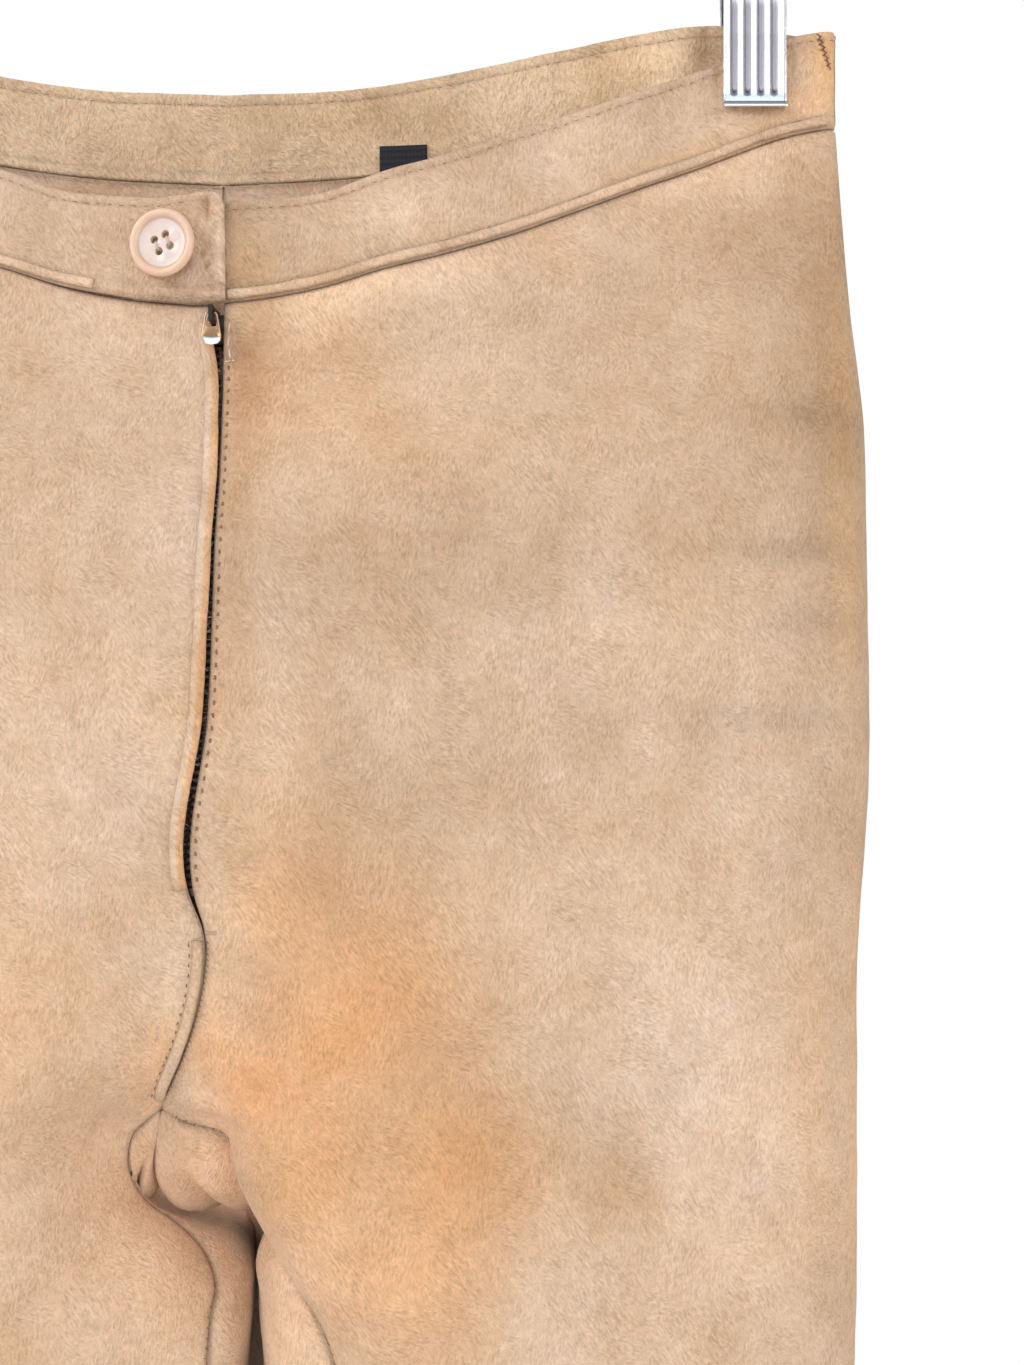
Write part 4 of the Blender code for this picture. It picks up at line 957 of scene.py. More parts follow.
def panel_grid(name):
    """Fine points of a panel, in metres, from the waist seam down to the hem, in its own mirrored frame."""
    rows, face, side = PANELS[name]
    top = waist_rows(rows, face, side, FINE_TOP)
    grid = np.concatenate([top, row_shape(rows, face, FINE_ROWS)])
    if name == "back_left":
        z = grid[..., 2]
        low = ramp((TUCK_TOP - z) / 10) * ramp((z - TUCK_FOOT) / 80)
        low = low * ramp((TUCK_REACH - grid[..., 0]) / 20)
        grid[..., 0] += TUCK * low * np.exp(-(((grid[..., 1] - TUCK_Y) / TUCK_WIDE) ** 2))
    return settled(grid, len(top)) * MM


def settled(grid, middle, reach=9, rounds=14):
    """A panel's rows evened out a little where its two sets of rows meet."""
    for _ in range(rounds):
        for row in range(middle - reach, middle + reach):
            grid[row] = (grid[row - 1] + 2 * grid[row] + grid[row + 1]) / 4
    return grid


def row_near(grid, z):
    """The first row whose inner edge lies at or below this height, in mm."""
    return int(np.argmax(grid[:, 0, 2] / MM <= z))


def edge_dip(grid):
    """How far the cloth turns in beside its seams, and the distance in from each edge, in mm."""
    across = np.linalg.norm(np.diff(grid, axis=1), axis=2)
    from_inner = np.concatenate([np.zeros((len(grid), 1)), np.cumsum(across, axis=1)], axis=1) / MM
    from_outer = from_inner[:, -1:] - from_inner
    down = np.linalg.norm(np.diff(grid, axis=0), axis=2)
    from_top = np.concatenate([np.zeros((1, grid.shape[1])), np.cumsum(down, axis=0)]) / MM
    seam = 0.55 * np.exp(-((from_inner / 1.3) ** 2)) + 0.35 * np.exp(-((from_outer / 1.6) ** 2))
    return seam + 0.75 * np.exp(-((from_top / 0.9) ** 2)), from_inner, from_outer, from_top


def build_panels(suede):
    """Four panels as thin shells on their solids' form, with listed folds and with patches of brushed nap,
    painted light and painted shade.
    """
    grids = {name: panel_grid(name) for name in PANELS}
    normals = {}
    for side in ("left", "right"):
        fork = int(np.argmax(np.concatenate([np.zeros(len(FINE_TOP)), FINE_ROWS]) <= FORK_Z))
        front, back = half_normals(grids[f"front_{side}"], grids[f"back_{side}"], fork)
        normals[f"front_{side}"] = front
        normals[f"back_{side}"] = back
    share_seam(normals, "front", row_near(grids["front_left"], SEAM_JOIN_Z), fork + 1)
    share_seam(normals, "back", 0, fork + 1)
    made = {}
    for number, (name, (_, _, side)) in enumerate(PANELS.items()):
        grid = grids[name]
        normal = normals[name]
        turn = (-1, 1, 1) if side == "right" else (1, 1, 1)
        world = grid * turn
        dip, from_inner, from_outer, from_top = edge_dip(grid)
        lift = crease_lift(world, CREASES[name])
        rolling = 0.35 * waves(world * (1, 1, 0.6), 0.11, 40 + number)
        lift += rolling + 0.14 * waves(world, 0.03, 60 + number)
        calm = ramp(from_top / 14) * ramp(from_inner / 8) * ramp(from_outer / 8)
        lift = lift * calm - dip
        if name == "front_left":
            lift -= fly_puncture_line(world, from_inner)
        outside = grid + normal * lift[..., None] * MM
        tone = panel_tone(name, world, from_inner, from_outer, from_top)
        piece = shell(name + "_cloth", outside, normal, SUEDE, suede, tone, mirrored=side == "right")
        place(piece, "suede_tan", name)
        turned = normal * turn
        made[name] = {"piece": piece, "grid": world + turned * lift[..., None] * MM, "normals": turned}
    return made


def share_seam(normals, face, first, last):
    """Gives the two sides of a centre seam one normal there, eased in over the next columns."""
    left = normals[f"{face}_left"]
    right = normals[f"{face}_right"]
    rows = slice(first, last)
    shared = unit(left[rows, 0] + right[rows, 0] * (-1, 1, 1))
    for column, weight in enumerate((1, 0.85, 0.7, 0.5, 0.3, 0.15)):
        left[rows, column] = unit(left[rows, column] * (1 - weight) + shared * weight)
        right[rows, column] = unit(right[rows, column] * (1 - weight) + shared * (-1, 1, 1) * weight)


def fly_puncture_line(world, from_inner):
    """The shallow groove along the stitching beside the opening, in mm deep."""
    z = world[..., 2] / MM
    inside = (z < FLY_GROOVE_Z) & (z > FLY_STITCH_FOOT)
    return np.where(inside, 0.35 * np.exp(-(((from_inner - FLY_STITCH_IN) / 0.7) ** 2)), 0)


def patched(tone, points, patches):
    """Colour multipliers with soft oval patches laid over them."""
    for x, z, wide, high, turn, kind, strength in patches:
        weight = (spot_weight(points, x, z, wide, high, turn) * strength)[..., None]
        tone = tone * (1 + weight * (np.array(TONES[kind]) - 1))
    return tone


def panel_tone(name, world, from_inner, from_outer, from_top):
    """Colour multipliers: patches of brushed and worn nap with painted light and painted shade among them,
    painted shade between the legs and under the waistband, faint clouding and darker seams.
    """
    tone = np.ones(world.shape)
    tone = patched(tone, world, PATCHES[name])
    # painted shade on the back panels where they lie in the gap between the legs
    if name.startswith("back"):
        x, y, z = np.moveaxis(world / MM, -1, 0)
        painted_deep_shade = ramp((GAP_TOP - z) / 10) * ramp((z - GAP_FOOT) / 60) * ramp((GAP_REACH - np.abs(x)) / 15)
        painted_deep_shade = painted_deep_shade * np.exp(-(((y - TUCK_Y) / GAP_WIDE) ** 2))
        painted_deep_shade = painted_deep_shade * (0.4 + 0.6 * ramp((x - 4) / 12))
        tone = tone * (1 - painted_deep_shade[..., None] * np.array(GAP_PAINTED_SHADE))
    drift = waves(world * (1, 1, 0.8), 0.12, 5)[..., None]
    tone *= 1 + 0.035 * drift * np.array((1, 1.1, 1.3))
    blotch = waves(world * (1, 1, 0.7), 0.035, 9)[..., None]
    tone *= 1 + 0.028 * blotch * np.array((1, 1.1, 1.2))
    seam = np.exp(-((from_inner / 1.6) ** 2)) + np.exp(-((from_outer / 1.5) ** 2))
    tone = tone * (1 - 0.22 * np.minimum(seam, 1))[..., None]
    # painted shade along the top edge, under the waistband
    return tone * (1 - 0.62 * np.exp(-((from_top / 0.75) ** 2)))[..., None]


def band_grid(face, xs, shares, lift=0.0, low=0.0, side_ends=()):
    """Rows of a waistband from its seam up to its top edge, in metres, with outward normals."""
    waist = waist_of(face)
    sign = -1 if face == "front" else 1
    xs = np.asarray(xs, float)
    clipped = np.clip(np.abs(xs), 0, WAIST_END)
    seam_z = read(waist, "x", "seam", clipped) + low
    top_z = read(waist, "x", "top", clipped)
    rows = []
    for share in shares:
        z = seam_z + (top_z - seam_z) * share
        rows.append(np.column_stack([xs, sign * face_depth(face, xs, z), z]))
    grid = np.array(rows) * MM
    normals = np.cross(np.gradient(grid, axis=1), np.gradient(grid, axis=0))
    normals *= np.where(normals[..., 1:2] * sign > 0, 1, -1)
    normals = unit(normals)
    for column in side_ends:
        normals[:, column] = (math.copysign(1, xs[column]), 0, 0)
    lift = np.broadcast_to(lift, xs.shape).reshape(1, -1, 1)
    return grid + normals * lift * MM, normals


def band_columns(start, end=SIDE_SEAM_X, step=1.25):
    """Columns of a waistband from start to the side, closer together round the side's curve."""
    last = SIDE_SEAM_X - SIDE_ROUND
    if end < last:
        return np.linspace(start, end, int((end - start) / step) + 1)
    straight = np.linspace(start, last, int((last - start) / step) + 1)
    return np.concatenate([straight, last + SIDE_ROUND * np.sin(ROUND_T)])


def tab_lift(xs):
    """How far the right band's end stands over the left band, by distance to the wearer's left."""
    return TAB_LIFT * ramp((xs - TAB_FADE[0]) / (TAB_FADE[1] - TAB_FADE[0]))


def band_relief(grid, xs, seed, top_stitch, puckers=()):
    """Soft dents, the groove of the top stitching with its puckers, and a rolled top edge, in mm."""
    up = np.linalg.norm(grid - grid[:1], axis=2) / MM
    from_top = up[-1:] - up
    lift = 0.16 * waves(grid * (1, 1, 0.5), 0.03, seed) + 0.06 * waves(grid, 0.009, seed + 1)
    for x, wide, depth in puckers:
        high = np.sin(math.pi * np.clip(up / up[-1:], 0, 1)) ** 0.5
        lift -= depth * np.exp(-(((xs[None] - x) / wide) ** 2)) * high
    along = xs[None] + 0.3 * from_top
    stitch = 0.32 + 0.1 * np.cos(2 * math.pi * along / STITCH_PITCH)
    lift -= stitch * np.exp(-(((from_top - top_stitch) / 0.6) ** 2))
    pucker = np.exp(-(((from_top - top_stitch - 1.3) / 1.1) ** 2))
    lift -= 0.12 * np.cos(2 * math.pi * along / STITCH_PITCH) * pucker
    lift += 0.18 * np.exp(-(((from_top - top_stitch / 2) / 1.0) ** 2))
    return lift, from_top, up


def band_tone(world, from_top, up, seed, base=(1, 1, 1), groove=2.4):
    """Colour multipliers of a waistband: cloudy, with painted shade in the groove of its stitching, along
    its foot and in a line just above the welt's top edge.
    """
    tone = np.ones(world.shape) * np.array(base)
    tone *= 1 + 0.05 * waves(world * (1, 1, 0.7), 0.04, seed)[..., None] * np.array((1, 1.1, 1.25))
    # painted shade in the stitching groove, along the foot and just above the welt's top edge
    tone *= (1 - 0.24 * np.exp(-(((from_top - groove) / 0.5) ** 2)))[..., None]
    tone *= (1 - 0.15 * np.exp(-((up / 1.0) ** 2)))[..., None]
    tone *= (1 - 0.14 * np.exp(-(((up - WELT_WIDTH - 0.6) / 0.9) ** 2)))[..., None]
    return tone


def build_bands(suede, rough):
    """Waistbands and facing. Returns the grids that the welts and the stitching lie on."""
    made = {}
    shares = np.linspace(0, 1, BAND_ROWS)
    jobs = (
        (
            "band_front_left", "front", "left", UNDERLAP_END, FRONT_BAND,
            ((19, 2.2, 0.5), (34, 3, 0.6), (60, 5, 0.3)),
        ),
        ("band_front_right", "front", "right", -TAB_END, FRONT_BAND, ((40, 4, 0.4), (90, 5, 0.3))),
        ("band_back_left", "back", "left", 0, SUEDE, ((30, 4, 0.3), (120, 5, 0.3))),
        ("band_back_right", "back", "right", 0, SUEDE, ((50, 4, 0.3), (90, 5, 0.3))),
    )
    for number, (name, face, side, start, thick, dents) in enumerate(jobs):
        xs = band_columns(start)
        lift = tab_lift(-xs) if name == "band_front_right" else 0.0
        grid, normals = band_grid(face, xs, shares, lift=lift, low=BAND_LOW, side_ends=(-1,))
        if name == "band_front_right":
            grid = round_tab_corner(grid, xs)
            grid[..., 2] += TAB_RISE * MM * ramp((26 - (xs + TAB_END)) / 20)[None] * shares[:, None]
        bump, from_top, up = band_relief(grid, xs, 20 + number, TOP_STITCH, dents)
        turn = (-1, 1, 1) if side == "right" else (1, 1, 1)
        world = grid * turn
        tone = band_tone(world, from_top, up, 30 + number)
        if name == "band_front_right":
            bump, tone = tab_finish(world, xs, up, bump, tone)
        if name == "band_front_left":
            bump, tone = clip_imprint(world, bump, tone)
            # painted shade on the left band beside the end of the right band
            tab_painted_shade = np.exp(-(((world[..., 0] / MM - 10.5) / 9) ** 2))[..., None]
            tone *= 1 - tab_painted_shade * (1 - np.array(TONES["shade"]))
            tone = patched(tone, world, BAND_PATCHES)
        side_end = np.exp(-(((SIDE_SEAM_X - xs) / 1.2) ** 2))[None]
        bump -= 0.3 * side_end * np.ones_like(bump)
        outside = grid + normals * bump[..., None] * MM
        piece = shell(name + "_cloth", outside, normals, thick, suede, tone, mirrored=side == "right")
        place(piece, "suede_tan", name)
        made[name] = {
            "piece": piece, "grid": outside * turn, "normals": normals * turn, "from_top": from_top
        }
    half = band_columns(0, 187, 1.6)
    xs = np.concatenate([-half[:0:-1], half])
    grid, normals = band_grid("back", xs, shares, lift=-(SUEDE / MM + BAND_LOW), low=-BAND_LOW)
    grid[..., 2] -= BAND_LOW * MM * shares[:, None]
    inside = grid - normals * SUEDE
    dents = (
        (-8, 5, 0.5), (22, 6, 0.45), (46, 3, 0.7), (52, 2.5, 0.6), (84, 4, 0.5), (118, 7, 0.4),
        (150, 4, 0.5),
    )
    bump, from_top, up = band_relief(inside, xs, 50, FACING_STITCH, dents)
    bump += crease_lift(inside, FACING_CREASES)
    outside = inside - normals * bump[..., None] * MM
    tone = band_tone(inside, from_top, up, 52, base=(1.16, 1.16, 1.14), groove=FACING_STITCH)
    tone = patched(tone, inside, FACING_PATCHES)
    piece = shell("facing_cloth", outside, -normals, SUEDE, rough, tone)
    place(piece, "suede_rough", "band_back_facing")
    made["facing"] = {"piece": piece, "grid": outside, "normals": -normals, "from_top": from_top}
    return made


def round_tab_corner(grid, xs):
    """Rounds the top corner of the right band's end."""
    far = np.clip((xs + TAB_END) / TAB_CORNER, 0, 1)
    drop = TAB_CORNER * (1 - np.sqrt(1 - (1 - far) ** 2)) * MM
    height = np.linspace(0, 1, len(grid))[:, None]
    made = grid.copy()
    made[..., 2] -= drop[None] * height
    return made


def tab_finish(world, xs, up, bump, tone):
    """The right band's end: rough nap, a turned edge with its crease, a raised foot, painted shade in the
    crease and a painted highlight along the edge.
    """
    from_end = (xs + TAB_END)[None] * np.ones_like(bump)
    near = ramp((26 - from_end) / 8)
    bump = bump + near * (0.22 * waves(world, 0.006, 71) + 0.18 * waves(world, 0.0032, 72))
    bend = 4.4 + 0.9 * waves(world, 0.014, 73)
    bump = bump - near * 0.7 * np.exp(-(((from_end - bend) / 0.8) ** 2))
    bump = bump + near * 0.35 * np.exp(-(((from_end - 1.8) / 1.4) ** 2))
    bump = bump + near * 0.5 * np.exp(-(((up - 2.2) / 1.6) ** 2)) * (1 + 0.5 * waves(world, 0.008, 74))
    # painted shade in the crease
    crease = near * np.exp(-(((from_end - bend) / 0.9) ** 2)) * ramp((up - 5) / 6)
    crease = crease * (0.62 + 0.38 * waves(world, 0.007, 76))
    crease = np.clip(crease, 0, 1.1)
    tone = tone * (1 - crease[..., None] * (1 - np.array(TONES["crease"])) * 0.8)
    rough = near * (0.5 + 0.5 * waves(world, 0.004, 75))
    tone = tone * (1 - 0.12 * rough[..., None] * np.array((0.8, 1.0, 1.1)))
    # painted highlight along the turned edge
    lit = np.exp(-(((from_end - 1.0) / 1.3) ** 2)) * near
    return bump, tone * (1 + lit[..., None] * (np.array(TONES["lit_edge"]) - 1))


def clip_imprint(world, bump, tone):
    """Fine pressed lines where a clip's teeth held the band before."""
    x0, z0, x1, z1 = IMPRINT_BOX
    across = np.array((x1 - x0, z1 - z0))
    length = np.linalg.norm(across)
    across /= length
    dx = world[..., 0] / MM - x0
    dz = world[..., 2] / MM - z0
    along = dx * across[0] + dz * across[1]
    height = -dx * across[1] + dz * across[0]
    inside = ramp((along + 0.8) / 1.2) * ramp((length + 0.8 - along) / 1.2)
    inside = inside * ramp((height + 0.6) / 1.0) * ramp((IMPRINT_HIGH + 0.6 - height) / 1.0)
    lines = 0.5 + 0.5 * np.cos(2 * math.pi * height / IMPRINT_PITCH)
    tone = tone * (1 - 0.1 * (inside * lines)[..., None] + 0.06 * inside[..., None])
    return bump - 0.2 * inside - 0.12 * inside * lines, tone


def beside_seam(made, first, last, distance):
    """Points on a panel and their normals, at a distance in from its inner seam, between two rows."""
    grid = made["grid"][first : last + 1]
    lengths = np.linalg.norm(np.diff(grid, axis=1), axis=2)
    reach = np.concatenate([np.zeros((len(grid), 1)), np.cumsum(lengths, axis=1)], axis=1)
    points = []
    ups = []
    for row in range(len(grid)):
        ups_row = made["normals"][first + row]
        points.append([np.interp(distance * MM, reach[row], grid[row, :, axis]) for axis in range(3)])
        ups.append([np.interp(distance * MM, reach[row], ups_row[:, axis]) for axis in range(3)])
    return np.array(points), unit(np.array(ups))


def uneven(count, seed, amount=0.08):
    """Sizes that wander a little round 1 along a strip."""
    rng = np.random.default_rng(seed)
    rough = rng.normal(0, 1, count + 8)
    smooth = np.convolve(rough, np.ones(5) / 5, mode="same")[4:-4]
    return 1 + amount * smooth


def build_welts(suede, thread):
    """Rolled welts along the foot of the waistband, with small stitches along their top edge."""
    profile = rolled(WELT_WIDTH, WELT_HEIGHT, WELT_BASE, 12)
    across = np.array([place_at for place_at, _ in profile])
    # painted shade along both feet of each roll, painted light on its top
    shades = 1.09 - 0.34 * np.exp(-(((WELT_WIDTH / 2 - np.abs(across)) / 0.42) ** 2))[:, None] * np.ones(3)
    for number, (name, panel, start) in enumerate(WELTS):
        _, face, side = PANELS[panel]
        xs = np.arange(start, SIDE_SEAM_X - 3, 1.1)
        if face == "back":
            xs = np.concatenate([-xs[:0:-1], xs])
        lift = tab_lift(-xs) if side == "right" else 0.0
        grid, normals = band_grid(face, xs, (0, 0.03), lift=lift, low=BAND_LOW)
        step = toward(grid[0], grid[1])
        path = grid[0] + step * (WELT_WIDTH / 2 + 0.1) * MM
        turn = np.array((-1, 1, 1) if side == "right" else (1, 1, 1))
        sizes = uneven(len(path), 80 + number, 0.1)
        tone = 1 + 0.07 * waves(path * turn, 0.02, 84 + number)[:, None] * np.array((1, 1.1, 1.2))
        welt = sweep(name + "_roll", path * turn, normals[0] * turn, profile, suede, sizes, tone, shades)
        place(welt, "suede_tan", name)
        upper = grid[0] + step * (WELT_WIDTH + 0.45) * MM
        rng = np.random.default_rng(90 + number)
        sewn = name + "_stitches"
        ups = normals[0] * turn
        path = upper * turn
        stitches = thread_run(sewn, path, ups, thread, 2.3, 1.6, 0.2, lift=0.0, slant=14, rng=rng)
        place(stitches, "suede_tan")


def build_fly(panels, suede, thread, light, dark, rng):
    """The turned fold, the crotch ridge and all the stitching round the opening and the fork."""
    right = panels["front_right"]
    left = panels["front_left"]
    inside_grid = PANEL_GRIDS["front_right"]
    begin = int(np.argmax(FINE_TOP > 0.072))
    foot = row_near(inside_grid, FOLD_FOOT_Z)
    path, ups = beside_seam(right, begin, foot, FOLD_WIDTH / 2 - 0.35)
    profile = rolled(FOLD_WIDTH, FOLD_HEIGHT, 0.3, 16)
    tone = np.ones((len(path), 3))
    tone *= 1 + 0.05 * waves(path, 0.012, 95)[:, None] * np.array((1, 1.1, 1.3))
    across = np.array([a for a, _ in profile])
    # paler on one side and more orange with wear on the turned side; the darker foot on the paler side is
    # painted shade
    turned = ramp((across + 0.1) / 0.8)[:, None]
    shades = (1 - turned) * np.array((1.06, 1.1, 1.14)) + turned * np.array((1.06, 0.9, 0.72))
    shades *= 1 - 0.3 * np.exp(-(((across + FOLD_WIDTH / 2) / 0.35) ** 2))[:, None]
    fold = sweep("fly_fold_roll", path, ups, profile, suede, uneven(len(path), 96, 0.08), tone, shades)
    place(fold, "suede_tan", "fly_fold")
    top = row_near(inside_grid, CROTCH_TOP_Z)
    fork = row_near(inside_grid, FORK_Z)
    path, ups = beside_seam(right, top, fork, CROTCH_WELT_WIDTH / 2 + 0.3)
    profile = rolled(CROTCH_WELT_WIDTH, CROTCH_WELT_HEIGHT, 0.45, 12)
    tone = np.ones((len(path), 3)) * np.array((1.04, 1.04, 1.0))
    across = np.array([a for a, _ in profile])
    shades = np.ones((len(profile), 3))
    # painted shade along both feet of the ridge
    shades *= 1 - 0.35 * np.exp(-(((CROTCH_WELT_WIDTH / 2 - np.abs(across)) / 0.4) ** 2))[:, None]
    ridge = sweep("crotch_ridge", path, ups, profile, suede, uneven(len(path), 97, 0.1), tone, shades)
    place(ridge, "suede_tan", "crotch_welt")
    beside, beside_ups = beside_seam(right, top, fork, CROTCH_WELT_WIDTH + 0.9)
    place(
        thread_run("crotch_stitches", beside, beside_ups, dark, 3.3, 1.6, 0.2, lift=-0.04, rng=rng),
        "suede_tan",
    )
    beside, beside_ups = beside_seam(left, top, fork, 0.9)
    place(
        thread_run("crotch_bites", beside, beside_ups, dark, 1.9, 1.1, 0.15, slant=50, rng=rng), "suede_tan"
    )
    left_grid = PANEL_GRIDS["front_left"]
    high = row_near(left_grid, FLY_STITCH_TOP)
    low = row_near(left_grid, FLY_STITCH_FOOT)
    path, ups = beside_seam(left, high, low, FLY_STITCH_IN)
    stitches = thread_run("fly_stitches", path, ups, dark, 3.8, 1.9, 0.33, lift=-0.05, slant=16, rng=rng)
    place(stitches, "suede_tan")
    tails = thread_run(
        "fly_stitch_tails", path, ups, dark, 3.8, 1.9, 0.15, lift=0.05, slant=-38, rng=rng, spread=0.3
    )
    place(tails, "suede_tan")
    upper = row_near(left_grid, TOP_THREAD_Z)
    path, ups = beside_seam(left, upper, row_near(left_grid, CROSS_THREAD_Z), FLY_STITCH_IN)
    place(thread_run("fly_top_stitches", path, ups, light, 4.1, 3.4, 0.36, lift=0.2, rng=rng), "suede_tan")
    cross, cross_ups = across_panel(left, row_near(left_grid, CROSS_THREAD_Z), 0.6, 4.2)
    place(
        thread_run("fly_cross_stitch", cross, cross_ups, light, 1.1, 1.3, 0.3, lift=0.25, rng=rng),
        "suede_tan",
    )
    bar, bar_ups = across_panel(left, row_near(left_grid, LEFT_TACK_Z), 0.3, 3.6)
    place(
        thread_run("fly_bar_tack", bar, bar_ups, thread, 0.34, 1.0, 0.2, lift=0.25, slant=80), "suede_tan"
    )
    bar, bar_ups = across_panel(right, row_near(inside_grid, RIGHT_TACK_Z), 0.3, 2.2)
    place(
        thread_run("fly_bar_tack_right", bar, bar_ups, thread, 0.34, 1.0, 0.2, lift=0.25, slant=80),
        "suede_tan",
    )


def across_panel(made, row, start, end, count=24):
    """Points across a panel on one row, from start to end in mm in from its inner seam."""
    grid = made["grid"][row]
    reach = np.concatenate([[0], np.cumsum(np.linalg.norm(np.diff(grid, axis=0), axis=1))])
    at = np.linspace(start, end, count) * MM
    points = np.stack([np.interp(at, reach, grid[:, axis]) for axis in range(3)], axis=1)
    ups = np.stack([np.interp(at, reach, made["normals"][row][:, axis]) for axis in range(3)], axis=1)
    return points, unit(ups)


def build_seam_stitches(panels, bands, dark, rng):
    """Ticks along the inseams and the cross seam, the hems' top stitching and the waistband's."""
    for side in ("left", "right"):
        made = panels[f"front_{side}"]
        grid = PANEL_GRIDS[f"front_{side}"]
        first = row_near(grid, LEFT_INSEAM_TOP if side == "left" else RIGHT_INSEAM_TOP)
        last = len(grid) - 8
        path, ups = beside_seam(made, first, last, 1.0)
        ticks = thread_run(
            f"inseam_ticks_{side}", path, ups, dark, 3.1, 2.1, 0.17, lift=0.0, slant=66, rng=rng, spread=0.2
        )
        place(ticks, "suede_tan")
    for name, made in panels.items():
        row = len(made["grid"]) - 7
        path = made["grid"][row]
        place(
            thread_run(
                f"hem_stitches_{name}", path, made["normals"][row], dark, 3.8, 2.5, 0.16, lift=-0.03,
                rng=rng,
            ),
            "suede_tan",
        )
    for name in ("band_front_left", "band_front_right", "band_back_left", "band_back_right", "facing"):
        made = bands[name]
        drop = FACING_STITCH if name == "facing" else TOP_STITCH
        path, ups = along_band(made, drop)
        skip = 6 if name.startswith("band_front") else 2
        run = thread_run(
            f"top_stitches_{name}", path[skip:-2], ups[skip:-2], dark, STITCH_PITCH, 2.3, 0.13, lift=-0.1,
            rng=rng,
        )
        place(run, "suede_tan")


def along_band(made, drop):
    """Points along a waistband, drop mm below its top edge."""
    from_top = made["from_top"]
    grid = made["grid"]
    points = []
    ups = []
    for column in range(grid.shape[1]):
        depth = from_top[::-1, column]
        points.append([np.interp(drop, depth, grid[::-1, column, axis]) for axis in range(3)])
        ups.append([np.interp(drop, depth, made["normals"][::-1, column, axis]) for axis in range(3)])
    return np.array(points), unit(np.array(ups))


def build_side_whip(finish, rng):
    """Dark overcast threads near the top of the left side seam, where the band is mended by hand."""
    spots = []
    along = []
    for number in range(WHIP_COUNT):
        x = WHIP_TOP[0] + WHIP_STEP[0] * number
        z = WHIP_TOP[1] + WHIP_STEP[1] * number
        zig = 38 if number % 2 else -38
        spots.append((x, -float(face_depth("front", x, z)) - 0.1, z))
        angle = math.radians(zig + rng.normal(0, 9))
        along.append((math.cos(angle), 0, math.sin(angle)))
    spots = np.array(spots) * MM
    normals = np.tile((0.25, -0.97, 0.0), (len(spots), 1))
    whip = threads("side_whip_stitches", spots, np.array(along), normals, 2.1, 0.2, 0.12, finish)
    place(whip, "suede_tan")


def fly_line(heights):
    """Middle of the opening and the inside face of the fronts there, in mm."""
    middle = (read(FLY, "z", "right", heights) + read(FLY, "z", "left", heights)) / 2
    return middle, -face_depth("front", np.abs(middle), heights) + SUEDE / MM


def build_zip(tape_finish, metal, bright):
    """Woven tape and two rows of small teeth. The slider and the stop keep their solids."""
    heights = np.linspace(ZIP_TOP, ZIP_FOOT - 2, 90)
    middle, inside = fly_line(heights)
    path = np.column_stack([middle, inside + TAPE_BACK + 0.8, heights]) * MM
    half = TAPE_WIDTH / 2
    profile = [(half, 0), (half, 0.8)] + [(a, 0.8) for a in np.linspace(half - 0.5, 0.5 - half, 12)]
    profile += [(-half, 0.8), (-half, 0)]
    tape = sweep("zip_tape_woven", path, np.tile((0.0, -1.0, 0.0), (len(path), 1)), profile, tape_finish)
    place(tape, "zip_tape_brown", "zip_tape")
    points = []
    block = []
    for side, shift in ((-1, 0.0), (1, 1.2)):
        zs = np.arange(SLIDER_FOOT - 0.9 - shift, ZIP_FOOT + 3.6, -TOOTH_PITCH)
        middle, inside = fly_line(zs)
        for x, y, z in zip(middle, inside + CHAIN_BACK, zs):
            points.append((x + side * 0.75, y, z))
            block.append(side)
    corners = []
    for (x, y, z), side in zip(points, block):
        for depth, inset in ((0.0, 0.16), (0.16, 0.0), (1.0, 0.0)):
            for a, b in TOOTH_OUTLINE:
                corners.append((x - side * a * (1 - inset), y + depth, z + b * (1 - inset)))
    count = len(TOOTH_OUTLINE)
    faces = []
    for base in range(0, len(corners), 3 * count):
        faces.append([base + k for k in range(count)])
        faces.append([base + 2 * count + k for k in range(count)][::-1])
        for level in range(2):
            low = base + level * count
            for k in range(count):
                after = (k + 1) % count
                faces.append([low + after, low + k, low + k + count, low + after + count])
    teeth = build_mesh("zip_teeth", np.array(corners) * MM, faces, metal, smooth=False)
    recalc(teeth)
    place(teeth, "zip_metal", "zip_chain")
    build_pull(bright)


def recalc(obj):
    """Makes every loose part of a mesh face outwards."""
    mesh = bmesh.new()
    mesh.from_mesh(obj.data)
    bmesh.ops.recalc_face_normals(mesh, faces=mesh.faces)
    mesh.to_mesh(obj.data)
    mesh.free()


